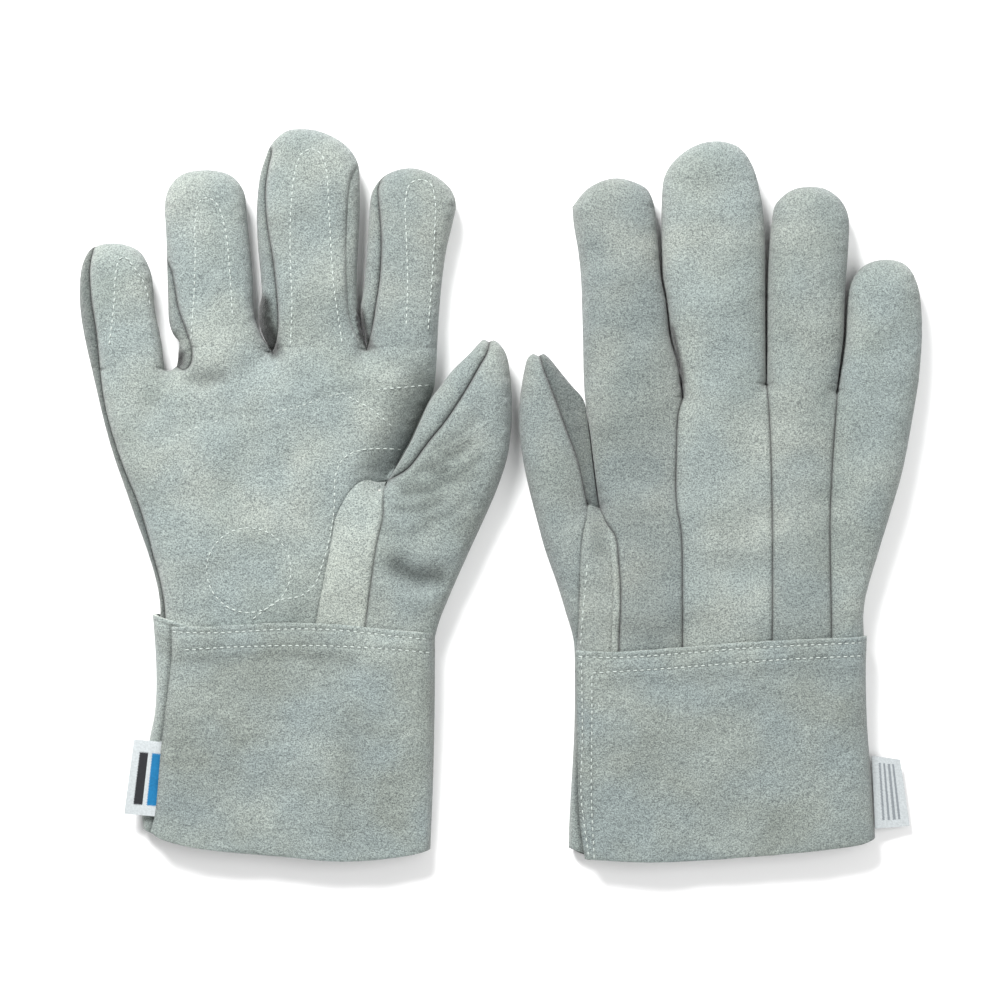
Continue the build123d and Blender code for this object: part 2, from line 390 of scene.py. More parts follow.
def suede(name, dark, pale, cool):
    """Split leather: a fibrous nap, cloudy dye, and painted shade in seams, folds and edges."""
    material, tree, shader = new_material(name)
    place = rest_place(tree)
    clouds = noise(tree, place, 30, 2, 0.4)
    colour = ramp(tree, clouds, ((0.34, dark), (0.66, pale)))
    hue = ramp(tree, noise(tree, place, 42, 1, 0.4), ((0.38, (0, 0, 0)), (0.66, (0.8, 0.8, 0.8))))
    colour = mix(tree, "MIX", hue, colour, cool)
    fibre = noise(tree, place, 1750, 2, 0.9)
    grain = ramp(tree, fibre, ((0.36, (0.42, 0.43, 0.44)), (0.50, (0.95, 0.95, 0.95)),
                               (0.63, (1.34, 1.33, 1.30))))
    colour = mix(tree, "MULTIPLY", 1.0, colour, grain)
    tufts = ramp(tree, noise(tree, place, 760, 2, 0.5),
                 ((0.36, (0.84, 0.85, 0.86)), (0.62, (1.05, 1.05, 1.04))))
    colour = mix(tree, "MULTIPLY", 0.6, colour, tufts)
    # Painted shade: the colour darkens towards near black where the attribute marks shaded seams,
    # folds, crotches and edges.
    shade_amount = node(tree, "ShaderNodeAttribute", attribute_name="painted_shade").outputs["Fac"]
    colour = mix(tree, "MULTIPLY", shade_amount, colour, (0.05, 0.055, 0.05))
    # Each cut's own lightness, which on cuts that lie in shade also holds painted shade.
    tone_and_shade = node(tree, "ShaderNodeAttribute", attribute_name="tone_and_shade").outputs["Color"]
    colour = mix(tree, "MULTIPLY", 1.0, colour, tone_and_shade)
    cloth(tree, shader, colour, 0.95, 0.12, 0.25)
    fill(shader, {"Sheen Roughness": 0.6})
    bumps = node(tree, "ShaderNodeMath", operation="ADD")
    coarse = node(tree, "ShaderNodeMath", operation="MULTIPLY")
    coarse.inputs[1].default_value = 1.2
    tree.links.new(noise(tree, place, 560, 2, 0.5), coarse.inputs[0])
    tree.links.new(fibre, bumps.inputs[0])
    tree.links.new(coarse.outputs[0], bumps.inputs[1])
    relief(tree, shader, bumps.outputs[0], 0.7, 0.0008)
    return material


def woven(name, colour, scale=900, depth=0.0002):
    """Thread, fleece or tape: a fine two-way weave with a soft sheen."""
    material, tree, shader = new_material(name)
    place = rest_place(tree)
    lines = noise(tree, place, scale, 2, 0.5)
    shade = ramp(tree, lines, ((0.3, tuple(0.8 * c for c in colour)), (0.7, colour)))
    cloth(tree, shader, shade, 0.8, 0.2, 0.2)
    relief(tree, shader, lines, 0.5, depth)
    return material


SUEDE = suede("split_suede", (0.208, 0.242, 0.226), (0.292, 0.323, 0.298), (0.222, 0.264, 0.260))
CUFF_SUEDE = suede("cuff_suede", (0.204, 0.231, 0.211), (0.278, 0.314, 0.293),
                   (0.222, 0.266, 0.266))
TRIM_SUEDE = suede("trim_suede", (0.270, 0.302, 0.278), (0.340, 0.368, 0.332),
                   (0.272, 0.314, 0.300))
THREAD = woven("thread", (0.46, 0.51, 0.48))
FLEECE = woven("fleece", (0.55, 0.545, 0.51), 500, 0.0008)
TAPE = woven("label_tape", (0.42, 0.45, 0.46), 1400)
BLUE_TAPE = woven("label_blue", (0.006, 0.135, 0.30), 1400)
GREY_TAPE = woven("label_grey", (0.20, 0.22, 0.235), 1400)
BLACK_TAPE = woven("label_black", (0.016, 0.017, 0.020), 1400)


# ---- building a glove's leather -----------------------------------------------------
def inset(stretch, amounts):
    """The stretch moved inwards by amounts spaced evenly along it."""
    run = np.concatenate([[0], np.cumsum(np.linalg.norm(np.diff(stretch, axis=0), axis=1))])
    given = np.linspace(0, run[-1], len(amounts))
    moved = stretch + normals_of(stretch) * np.interp(run, given, amounts)[:, None]
    return np.vstack([1.5 * moved[0] - 0.5 * moved[1], moved, 1.5 * moved[-1] - 0.5 * moved[-2]])


def signed_side(points, line):
    """Distance to a line, positive on its left, and the share of the line passed."""
    a, b = line[:-1], line[1:]
    run = b - a
    length = (run ** 2).sum(1)
    rel = points[:, None] - a
    along = np.clip((rel * run).sum(2) / length, 0, 1)
    gap = np.sqrt(((rel - along[..., None] * run) ** 2).sum(2))
    pick = gap.argmin(1)
    rows = np.arange(len(points))
    cross = run[pick, 0] * rel[rows, pick, 1] - run[pick, 1] * rel[rows, pick, 0]
    share = (pick + along[rows, pick]) / len(a)
    return np.where(cross >= 0, gap[rows, pick], -gap[rows, pick]), share


def ease(t):
    """A smooth step from 0 to 1."""
    t = np.clip(t, 0, 1)
    return t * t * (3 - 2 * t)


# A seam is (line, depth, drop, darkness): depth of its groove, drop of the lower panel beside it,
# positive if that panel lies on the line's left, and darkness, how dark the shade painted into its
# gap is.
GROOVE, HOLLOW = 0.45, 2.4         # half widths of a seam's sharp groove and of its soft one
STEP, LEDGE = 4.5, 0.5             # how far the drop reaches on its lower and its upper panel
GAP_SHADE_WIDTH, SHADE_WIDTH = 0.42, 1.8  # of the painted shade in the gap, and of the painted shadow on the lower panel


def seam_dip(p, seams):
    """How far seams pull the surface down: a narrow groove, deeper on a lower panel's side."""
    total = np.zeros(len(p))
    for line, depth, drop, _ in seams:
        gap, _ = signed_side(p, line)
        away = np.abs(gap)
        total += depth * (0.6 * np.exp(-away / GROOVE) + 0.4 * np.exp(-away / HOLLOW))
        below = (gap * drop) > 0
        total += abs(drop) * np.where(below, np.exp(-away / STEP), np.exp(-away / LEDGE))
    return total


def seam_painted_shade(p, line, drop, shade_darkness):
    """Painted shade of a seam: in its gap, and the shadow that the higher panel throws."""
    gap, _ = signed_side(p, line)
    away = np.abs(gap)
    shade = 0.55 * min(abs(drop), 1) * np.exp(-away / SHADE_WIDTH)
    reach = np.where(gap * drop > 0, shade, 0)
    return shade_darkness * np.maximum(np.exp(-(away / GAP_SHADE_WIDTH) ** 1.5), reach)


def valley_dip(p, valleys):
    """How deep valleys are at points; a valley is (line, depth, half width)."""
    return sum(depth * np.exp(-(distance(p, smooth(line)) / width) ** 2)
               for line, depth, width in valleys)


def shade_streak(p, line, width, amount):
    """A soft streak of painted shade along a line."""
    return amount * np.exp(-(distance(p, smooth(line)) / width) ** 2)


def no_painted_shade(p):
    """No painted shade anywhere."""
    return np.zeros(len(p))


def leather(glove, side, loop, height, seams, cuts, seeds, spacing, rings=RINGS, extra_painted_shade=no_painted_shade):
    """Meshes one side of a glove. Yields (piece name, vertices, faces, normals, painted shade).

    Seams and cuts divide it. seeds gives each piece's name and a place inside each of its patches,
    and a sliver without a seed joins the nearest patch that has one."""
    lines = [seam[0] for seam in seams]
    flat, faces, on_line = triangulate(loop, lines + cuts, spacing, rings)
    rim = distance(flat, loop, True)
    verts = np.column_stack([flat, height(flat, rim)])
    tri = np.array(faces)
    fixed = rim < ON_LINE
    for line in lines:
        fixed |= distance(flat, line) < ON_LINE
    verts = relax(verts, tri, fixed)
    # Painted shade along the outline, where the surface turns away, in the seams, and in folds and
    # crotches.
    painted_shade = 0.13 * np.exp(-rim / 1.2)
    for line, _, drop, shade_darkness in seams:
        painted_shade = np.maximum(painted_shade, seam_painted_shade(flat, line, drop, shade_darkness))
    painted_shade = np.maximum(painted_shade, extra_painted_shade(flat))
    if side == "lower":
        faces = [(a, c, b) for a, b, c in faces]
        tri = np.array(faces)
    seam_edges = {edge for edge, index in on_line.items() if index < len(seams)}
    panel = patches(faces, seam_edges)
    piece = patches(faces, set(on_line))
    centre = verts[tri].mean(1)[:, :2]
    corner = verts[tri][:, :, :2]
    edge_a, edge_b = corner[:, 1] - corner[:, 0], corner[:, 2] - corner[:, 0]
    area = 0.5 * np.abs(edge_a[:, 0] * edge_b[:, 1] - edge_a[:, 1] * edge_b[:, 0])
    name_of = {}
    for name, spots in seeds.items():
        for spot in spots:
            number = piece[((centre - np.array(spot)) ** 2).sum(1).argmin()]
            if name_of.setdefault(number, name) != name:
                raise ValueError(f"{glove} {side}: {name} and {name_of[number]} are one piece")
    known = np.isin(piece, list(name_of))
    for number in set(piece[~known]):
        mine = piece == number
        if area[mine].sum() > SLIVER:
            raise ValueError(f"{glove} {side}: unnamed {area[mine].sum():.0f} mm2 at "
                             f"{centre[mine].mean(0).round()}")
        middle = centre[mine].mean(0)
        near = ((centre[known] - middle) ** 2).sum(1).argmin()
        name_of[number] = name_of[piece[known][near]]
        panel[mine] = panel[known][near]
    for name in seeds:
        numbers = [n for n, given in name_of.items() if given == name]
        chosen = np.isin(piece, numbers)
        normals = np.zeros_like(verts)
        for one in set(panel[chosen]):
            part = vertex_normals(verts, tri[panel == one])
            members = np.unique(tri[chosen & (panel == one)])
            normals[members] = part[members]
        if side == "lower":         # its inner face stays under the upper sheet along the rim
            edge = rim < ON_LINE
            across = normals[edge, :2]
            across /= np.maximum(np.linalg.norm(across, axis=1), 1e-9)[:, None]
            normals[edge] = np.column_stack([0.8 * across, np.full(edge.sum(), 0.6)])
        yield name, verts, tri[chosen], normals, painted_shade


def body_names(glove, name):
    """(hand body, own body) of a piece, from its name."""
    for part in ("index", "middle", "ring", "little", "thumb"):
        if name.startswith(part):
            return f"{glove}_hand", f"{glove}_{part}"
    return f"{glove}_hand", None


# How each finger or thumb turns away from its hand: first and last place of the bend, in mm.
BENDS = {
    (UP, "little"): ((-148, 50.4), (-148, 76)),
    (UP, "ring"): ((-112, 58.4), (-112, 84)),
    (UP, "middle"): ((-75, 58.4), (-75, 84)),
    (UP, "index"): ((-39, 58.4), (-39, 84)),
    (UP, "thumb"): ((-28.5, -7.8), (-15.4, 7.6)),
    (DOWN, "little"): ((149, 41.8), (149, 66)),
    (DOWN, "ring"): ((120, 44.6), (120, 70)),
    (DOWN, "middle"): ((88, 44.6), (88, 70)),
    (DOWN, "index"): ((51, 39.8), (51, 66)),
    (DOWN, "thumb"): ((27.5, -13.1), (14.5, 1.5)),
}


def attach(piece, glove, name):
    """Rides a piece on its hand; a piece of a finger or thumb only has its place baked into its
    mesh.
    """
    hand, own = body_names(glove, name)
    if own is None:
        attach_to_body(piece, hand)
        return
    start, end = BENDS[glove, own.split("_", 1)[1]]
    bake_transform(piece)


# ---- the palm-up glove --------------------------------------------------------------
UP_BOTTOM = [(-134.5, -62), (-27.5, -62)]
UP_THUMB_OUT = [(-27.5, -62), (-25, -51), (-20.5, -39.5), (-12.5, -21.5), (-7, -9.5), (-2, 2),
                (2, 14), (3.8, 26), (4.1, 38), (3.2, 49), (1.8, 56), (-1.2, 60.3), (-3.2, 61.4),
                (-5, 60.6)]
UP_THUMB_IN = [(-5, 60.6), (-7, 61.7), (-10, 58.8), (-13, 55.5), (-19, 49.6), (-23.5, 43.7),
               (-28, 37.8), (-32, 29.5), (-36, 20.7), (-40.5, 13), (-44.8, 6)]
UP_INDEX = [(-44.8, 6), (-41.2, 13.3), (-36.7, 21), (-32.7, 29.8), (-29.4, 36.2), (-27, 41.5),
            (-26, 49.5), (-25.3, 61.5), (-24.6, 73), (-23.5, 85), (-21.8, 97), (-19, 109),
            (-18, 115), (-20, 121), (-27, 126.8), (-36, 129.4), (-46, 126.5), (-50.8, 120.5),
            (-52, 114.5), (-52.8, 103), (-53.6, 91), (-54.8, 79), (-55.7, 73), (-54.6, 65.5),
            (-53.1, 57.5)]
UP_MIDDLE = [(-53.1, 57.5), (-55.3, 65.8), (-56.6, 73), (-57, 91), (-56.4, 103), (-56, 120.7),
             (-57, 132), (-62, 138.8), (-72, 144), (-79, 144.8), (-85, 144), (-91, 138.6),
             (-93.6, 132.5), (-95.4, 126.5), (-96.6, 115), (-96.5, 103), (-95, 85), (-94.8, 79),
             (-95.9, 72), (-94.6, 64), (-90.7, 56.7)]
UP_RING = [(-90.7, 56.7), (-95.2, 64), (-97, 69), (-97.9, 74), (-98.2, 85), (-99.3, 97),
           (-100.5, 109), (-102, 120.5), (-107, 126.5), (-116.7, 128.6), (-127, 126.4),
           (-131.8, 120.5), (-133, 114.5), (-132.5, 103), (-131.8, 79), (-131.2, 68),
           (-129.6, 63.5), (-127.4, 60.6), (-127.8, 56), (-128.6, 51.2)]
UP_WEB = [(-128.6, 51.2), (-130.6, 49.4), (-133.2, 49.5)]
UP_LITTLE = [(-133.2, 49.5), (-134.6, 61.5), (-137, 73.3), (-138, 85), (-139.6, 91),
             (-143.5, 96.8), (-152.7, 99.7), (-162, 97.5), (-165.6, 91), (-166.5, 85),
             (-166.4, 73.5), (-164.5, 61.5), (-161.8, 49.6), (-156.2, 26), (-152.6, 14),
             (-148.4, 2.2), (-144.3, -9.7), (-140, -21.5), (-136.5, -33.4), (-135, -42),
             (-134.8, -52), (-134.5, -62)]
UP_LOOP = outline(UP_BOTTOM, UP_THUMB_OUT, UP_THUMB_IN, UP_INDEX, UP_MIDDLE, UP_RING, UP_WEB,
                  UP_LITTLE)
UP_SLIT = smooth([(-44.8, 6), (-41.1, 13.1), (-36.6, 20.7), (-32.6, 29.5), (-28.9, 36.9),
                  (-25.6, 42), (-20, 51), (-14, 61), (-10, 68)])
UP_SHADE = smooth([(-43.5, 9), (-36.6, 20.7), (-32.6, 29.5), (-28, 38)])
UP_STRIP_LEFT = smooth([(-44.8, 6), (-48.5, 5.2), (-53.5, 6.2), (-58.7, 2.8), (-63, -4),
                        (-65.5, -9.5), (-66.4, -15.5), (-68.2, -25), (-70.6, -37.5),
                        (-73, -50), (-75, -63)])
UP_SEAMS = [
    (smooth([(-160, 101), (-160.9, 97), (-162.2, 89), (-161.4, 77), (-159.7, 65.5),
             (-156.8, 38), (-152.8, 22), (-148.7, 10), (-142.9, -4), (-137.2, -24),
             (-133.2, -41), (-132.6, -63)]), 1.7, -1.6, 0.9),
    (smooth([(-134, 97), (-131.6, 92), (-129.7, 87), (-127.2, 73.5), (-124.4, 65.5),
             (-122, 58), (-121.9, 53.5), (-123.4, 50.4), (-126, 49.7), (-128.6, 51.2)]),
     1.7, -2.2, 0.85),
    (smooth([(-92.4, 139.6), (-90.7, 136), (-91.8, 130), (-93, 121), (-92.4, 108), (-90, 93),
             (-88.3, 77), (-88, 66), (-89.2, 59.5), (-90.7, 56.7)]), 1.7, -2.2, 0.8),
    (smooth([(-55, 133), (-57.4, 129), (-59.3, 124.5), (-60.6, 114), (-61.1, 101),
             (-60.8, 81), (-59.8, 70), (-56.5, 62), (-53.1, 57.5)]), 1.3, 0.9, 0.3),
    (smooth([(-44.6, 129), (-47, 125.2), (-48.6, 121), (-47.9, 111), (-47.3, 101),
             (-47.7, 88), (-49, 78), (-51, 66), (-52.5, 60), (-53.1, 57.5)]), 1.8, -2.0, 0.85),
    (UP_STRIP_LEFT, 0.9, 0.35, 0.12),
    (smooth([(-44.8, 6), (-46.4, 2.5), (-46.6, -8.5), (-49, -19), (-50.8, -30.5),
             (-53.4, -50), (-55, -63)]), 1.7, 0.25, 0.6),
    (smooth([(-4.6, 61.8), (-5.7, 56), (-8.9, 50.4), (-12.8, 43.4), (-15.6, 38.9),
             (-21.9, 29.4), (-29, 20.7), (-37, 10.5), (-44.8, 6)]), 2.2, -0.8, 0.95),
]
UP_ROOT, UP_LITTLE_ROOT = 58.2, 50.2        # where the fingers and the little finger start
UP_CUTS = [
    smooth([(-131.5, UP_ROOT), (-24, UP_ROOT)]),
    smooth([(-166, UP_LITTLE_ROOT), (-132.8, UP_LITTLE_ROOT)]),
    smooth([(-44.8, 6), (-10.2, -23.5)]),
]
# Random unevenness: how wide its hills are, how high, and its seed.
UP_RIPPLES = ((36, 0.70, 11), (14, 0.34, 12), (6, 0.09, 13))
DOWN_RIPPLES = ((36, 0.70, 21), (15, 0.32, 22), (6, 0.08, 23))
# Soft valleys in the palm and thumb: line, depth, half width.
UP_VALLEYS = [
    ([(-90.7, 55), (-86, 49), (-79, 45)], 1.8, 3.0),
    ([(-90.7, 55), (-96, 50), (-101, 49)], 1.3, 3.0),
    ([(-53.1, 56), (-48, 51), (-41, 49)], 1.8, 3.0),
    ([(-53.1, 56), (-58, 50), (-63, 47)], 1.0, 3.0),
    ([(-123, 46), (-118, 44.5), (-110, 46)], 2.6, 2.8),
    ([(-131, 46), (-134, 41), (-136, 34)], 1.3, 3.0),
    ([(-132, 22), (-113, 29), (-98, 32), (-83, 34), (-64, 40), (-50, 41)], 0.8, 2.4),
    ([(-127, 51.6), (-126.5, 53.5)], 6.0, 2.2),
    ([(-92, 59), (-91, 62)], 2.5, 2.4),
    ([(-53.4, 60), (-53.9, 66)], 2.5, 2.0),
]
UP_WRINKLES = [
    ([(-41, -28), (-33, -31.5), (-25, -32)], 2.8, 5.0),
    ([(-38, 1), (-28, 3), (-16, 9), (-8, 15)], 1.5, 1.8),
    ([(-33, 10), (-24, 13), (-12, 21)], 1.3, 1.6),
    ([(-41, -5), (-33, -6), (-24, -2)], 1.2, 1.8),
    ([(-26, 19), (-17, 24), (-9, 31)], 1.0, 1.6),
    ([(-30, -10), (-22, -8), (-14, -2)], 1.1, 1.8),
    ([(-46, -14), (-37, -15), (-29, -12)], 1.0, 2.4),
    ([(-24, 5), (-17, 6), (-9, 8)], 1.1, 1.5),
    ([(-29, 10), (-24, 9), (-21, 11)], 1.9, 1.5),
    ([(-22, 16), (-18, 15), (-15, 18)], 1.6, 1.4),
    ([(-36, -33), (-33, -36), (-29, -35)], 1.3, 2.2),
]


# Where shade is painted into the palm-up glove's crotches and a fold: line, half width, how dark.
UP_PAINTED_SHADES = [
    ([(-126.9, 52.6), (-126.9, 55.5)], 1.8, 1.3),
    ([(-123, 46), (-118, 44.5), (-110, 46)], 2.4, 0.31),
]
# Shade painted into the hollows between its fingers: gap the hollow lies to the right of, line,
# half width, how dark.
UP_HOLLOWS = [
    ([(-90.7, 56.7), (-95.3, 64), (-96.9, 71), (-98, 82)],
     [(-91.2, 58.5), (-93.2, 65.5), (-94.8, 75)], 3.7, 2.0),
    ([(-53.1, 57.5), (-56.4, 64), (-57.3, 71), (-57.5, 82)],
     [(-53.7, 59.5), (-55.4, 65.5), (-56.3, 71.5)], 2.2, 1.9),
]


def up_painted_shade(p):
    """Painted shade in the palm-up glove's folds, wrinkles and finger crotches, and a painted
    shadow beside its thumb.
    """
    gap, share = signed_side(p, UP_SLIT)
    # Painted shadow of the raised thumb on the palm beside it.
    hand = (gap > 0) & (share < 0.75)
    extra_painted_shade = np.where(hand, 0.64 * np.exp(-distance(p, UP_SHADE) / 5.5), 0)
    # Painted shade in the hollows between the fingers, on one side of each gap.
    for gap_line, line, width, amount in UP_HOLLOWS:
        dark = np.maximum(extra_painted_shade, shade_streak(p, line, width, amount))
        extra_painted_shade = np.where(signed_side(p, smooth(gap_line))[0] <= 0, dark, extra_painted_shade)
    for line, width, amount in UP_PAINTED_SHADES:
        extra_painted_shade = np.maximum(extra_painted_shade, shade_streak(p, line, width, amount))
    # Painted shade along the wrinkles.
    for line, depth, width in UP_WRINKLES:
        extra_painted_shade = np.maximum(extra_painted_shade, shade_streak(p, line, 0.8 * width, 0.23 * depth))
    return extra_painted_shade


def dome(p, rim, foot, high, ripples):
    """A surface that rises from foot, its rim's height, to its full height, gently uneven."""
    x, y = p[:, 0], p[:, 1]
    swell = np.sqrt(1 - np.exp(-2 * rim / EDGE))
    z = foot + (high - foot) * swell
    calm = np.clip(rim / 5, 0, 1)
    for size, amount, seed in ripples:
        z += calm * amount * ripple(x, y, size, seed)
    return z


def up_foot(p):
    """Height of the palm-up glove's widest contour."""
    gap, share = signed_side(p, UP_SLIT)
    near = ease(share / 0.18) * ease((1 - share) / 0.2)
    lip = distance(p, smooth(UP_THUMB_IN))
    return MIDDLE + near * np.where(gap < 0, 5.5 * np.exp(-(lip / 6) ** 2),
                                    -4.5 * np.exp(-(gap / 8) ** 2))


def up_dip(p):
    """How deep the palm-up glove's valleys and wrinkles are."""
    return valley_dip(p, UP_VALLEYS + UP_WRINKLES)


def up_rim(p):
    """Height of the palm-up glove's edge, where its two sheets meet."""
    return up_foot(p) - up_dip(p)


def up_upper(p, rim):
    """The palm, finger fronts and thumb front of the palm-up glove."""
    thumb = signed_side(p, UP_SLIT)[0] < 0
    y = p[:, 1]
    high = np.full(len(p), TOP) - 1.6 * ease((-38 - y) / 14)       # thinner towards the cuff
    high += np.where(thumb, 3.2, 0) * ease((y + 20) / 60)          # the thumb lies higher
    high -= np.where(thumb, 0, 11.0) * np.exp(-(distance(p, UP_SHADE) / 9) ** 2)  # palm sinks
    z = dome(p, rim, up_foot(p), high, UP_RIPPLES)
    return z - up_dip(p) - seam_dip(p, UP_SEAMS) * np.clip(rim / 1.5, 0, 1)


def lower(foot, seams, wrist):
    """An underside lying on the table; below wrist it makes room for the cuff's sheet."""
    def height(p, rim):
        z = foot(p) * (1 - np.sqrt(1 - np.exp(-2 * rim / UNDER_EDGE)))
        z += 1.6 * ease((wrist - p[:, 1]) / 6) * np.clip(rim / 2, 0, 1)
        return np.maximum(z + seam_dip(p, seams) * np.clip(rim / 1.5, 0, 1), 0)
    return height


UP_UNDER_SEAMS = [
    (smooth([(-53.1, 57.5), (-54, 30), (-56, -5), (-57, -63)]), 1.4, 0, 0.7),
    (smooth([(-90.7, 56.7), (-90, 30), (-88, -5), (-87, -63)]), 1.4, 0, 0.7),
    (smooth([(-128.6, 51.2), (-127, 44), (-124, 30), (-119, -5), (-115, -63)]), 1.4, 0, 0.7),
    (smooth([(-44.8, 6), (-45, -10), (-47, -35), (-49, -63)]), 1.4, 0, 0.7),
]
UP_SEEDS = {
    "palm": [(-100, 0)],
    "little_front": [(-150, 75)],
    "ring_front": [(-114, 90)],
    "middle_front": [(-75, 100)],
    "index_front": [(-38, 90)],
    "little_sides": [(-163.8, 75)],
    "ring_sides": [(-129.7, 74)],
    "middle_sides": [(-93.5, 95), (-58.5, 100)],
    "index_sides": [(-50.5, 90)],
    "side_edge": [(-154.8, 27)],
    "web_side": [(-125, 54)],
    "saddle_strip": [(-60, -20)],
    "thumb_front": [(-8, 30)],
    "base_front": [(-38, -35)],
    "thumb_inner": [(-25, 35)],
}
UP_UNDER_SEEDS = {
    "back_little": [(-140, 0)],
    "back_ring": [(-105, 0)],
    "back_middle": [(-70, 0)],
    "back_index": [(-50, 20)],
    "little_back": [(-150, 75)],
    "ring_back": [(-114, 90)],
    "middle_back": [(-75, 100)],
    "index_back": [(-38, 90)],
    "thumb_back": [(-8, 30)],
    "base_back": [(-35, -35)],
}

# ---- the palm-down glove ------------------------------------------------------------
DOWN_BOTTOM = [(29, -70), (143, -70)]
DOWN_LITTLE = [(143, -70), (143.2, -58), (143, -46), (144.2, -38.5), (147.5, -27), (151, -15.5),
               (154.5, -4), (158, 8), (160.5, 20), (162.6, 32), (164.5, 43.5), (165.7, 55.5),
               (166.1, 67.3), (165.2, 79.2), (163.3, 86), (159.5, 91.3), (152, 93.3),
               (143.6, 91), (138.7, 85.3), (137, 79.2), (136.5, 73.3), (135.8, 61.5),
               (134.1, 50), (132.5, 41)]
DOWN_RING = [(132.5, 41), (133.5, 50), (135, 61.5), (135.7, 79), (136.9, 97), (137.2, 108.8),
             (135.2, 115), (129, 120.7), (121.9, 122), (114.7, 120.7), (108.3, 115),
             (106.9, 108.8), (105.7, 97), (105, 79), (104.9, 62), (104.5, 43.6)]
DOWN_MIDDLE = [(104.5, 43.6), (104.3, 62), (104.2, 80), (104.1, 103), (103, 114.7),
               (100.5, 126.5), (98, 132.5), (93.5, 137.8), (85.1, 140), (76.4, 138.2),
               (68.3, 132.3), (64.4, 126), (63.4, 119), (63.4, 97), (63.9, 85.5), (65.3, 78),
               (67.3, 62), (70.3, 51.5), (71.2, 45), (71.7, 38.5)]
DOWN_INDEX_RIGHT = [(71.7, 38.5), (70.6, 45), (69.7, 51.5), (66.7, 62), (64.7, 78), (63.2, 85),
                    (62.3, 95), (61.3, 106), (60.2, 115), (57.5, 121), (52, 124), (45.6, 125.4),
                    (40, 124.4), (33.4, 120.7), (27.9, 114)]
DOWN_INDEX_LEFT = [(27.9, 114), (28.5, 107), (30.2, 97), (31.4, 85), (31.8, 73.3), (32.2, 58),
                   (32.5, 45), (33, 37), (34.7, 26), (36.2, 14), (37.6, 3), (38.9, -5)]
DOWN_THUMB_IN = [(38.9, -5), (37.2, 3), (35.8, 14), (34.3, 26), (32.4, 37.5), (27.5, 43.6),
                 (22.7, 49.6), (18.6, 54.6), (16.6, 56), (14.6, 55.1)]
DOWN_THUMB_OUT = [(14.6, 55.1), (12.5, 56), (10.4, 54.4), (9, 49.6), (8, 43.6), (7.2, 37),
                  (6.9, 26), (8.5, 14), (11, 2), (14, -9.7), (17.2, -21.5), (21.5, -33.5),
                  (25.2, -45.5), (28.4, -57), (29, -70)]
DOWN_LOOP = outline(DOWN_BOTTOM, DOWN_LITTLE, DOWN_RING, DOWN_MIDDLE, DOWN_INDEX_RIGHT,
                    DOWN_INDEX_LEFT, DOWN_THUMB_IN, DOWN_THUMB_OUT)
DOWN_SLIT = smooth([(38.9, -5), (37.4, 3), (36, 14), (34.5, 26), (32.7, 37.5), (30, 44),
                    (25, 52), (20, 60), (16, 68)])
DOWN_SHADE = smooth([(38.5, -2), (36.1, 14), (34.6, 26), (32, 38)])
DOWN_SEAMS = [
    (smooth([(71.7, 38.5), (69.8, 33), (68.8, 15), (68.9, -3), (70.8, -15), (71.2, -40),
             (71.4, -71)]), 1.8, 0.5, 0.8),
    (smooth([(104.5, 43.6), (105.6, 27), (106.3, 5), (106.6, -20), (106.5, -71)]),
     1.8, 0.3, 0.75),
    (smooth([(132.5, 41), (131.2, 27), (130.1, 9), (129.3, -9), (129.6, -35), (130.3, -71)]),
     1.8, 0.5, 0.75),
    (smooth([(14.8, 56), (16.4, 50.4), (20.9, 38.7), (25.9, 25), (30, 13.6), (33.8, -3.5)]),
     1.8, 0.6, 0.85),
    (smooth([(33.8, -3.5), (33.7, -8), (31.9, -16), (31, -27), (30.5, -43), (29.6, -60),
             (28.5, -66)]), 1.2, 0.4, 0.3),
    (smooth([(38.9, -5), (41.4, -11), (44.8, -16), (46.2, -27), (46.9, -39), (46.3, -58),
             (46.3, -71)]), 2.0, 0, 0.85),
    (smooth([(41.4, -11), (42.3, -16), (43.3, -27), (44, -39), (43.3, -58), (43.3, -71)]),
     0.8, 0, 0.1),
    (smooth([(33.8, -3.5), (38.9, -5)]), 0.8, 0, 0.25),
]
DOWN_CUTS = [
    smooth([(32.1, 39.2), (72, 39.2)]),
    smooth([(70.4, 44.4), (133.5, 44.4)]),
    smooth([(132.2, 41.8), (166, 41.8)]),
    smooth([(38.9, -5), (34, -7.2), (13.8, -25.8)]),
]
DOWN_VALLEYS = [
    ([(60, 92), (55, 84), (50, 80)], 0.6, 4.0),
    ([(74, 60), (84, 54), (95, 56)], 0.5, 4.5),
    ([(48, 10), (58, 4), (66, 4)], 0.5, 5.0),
    ([(78, -30), (90, -34), (102, -30)], 0.5, 5.0),
]


# Where shade is painted on the palm-down glove: line, half width, how dark.
DOWN_PAINTED_SHADES = [
    ([(71.2, 38.8), (71.4, 47), (69.5, 56), (67.1, 66.6)], 0.9, 1.0),
    ([(37, -6), (38, -13), (38.2, -21)], 4.0, 0.33),
]


def down_painted_shade(p):
    """Painted shade in the palm-down glove's deepest gap and at the head of its saddle strip."""
    return np.max([shade_streak(p, *spot) for spot in DOWN_PAINTED_SHADES], axis=0)


def down_foot(p):
    """Height of the palm-down glove's widest contour."""
    gap, share = signed_side(p, DOWN_SLIT)
    near = ease(share / 0.15) * ease((1 - share) / 0.2)
    lip = distance(p, DOWN_SHADE)
    return MIDDLE + near * np.where(gap < 0, 5.0 * np.exp(-(lip / 6) ** 2),
                                    3.5 * np.exp(-(lip / 8) ** 2))


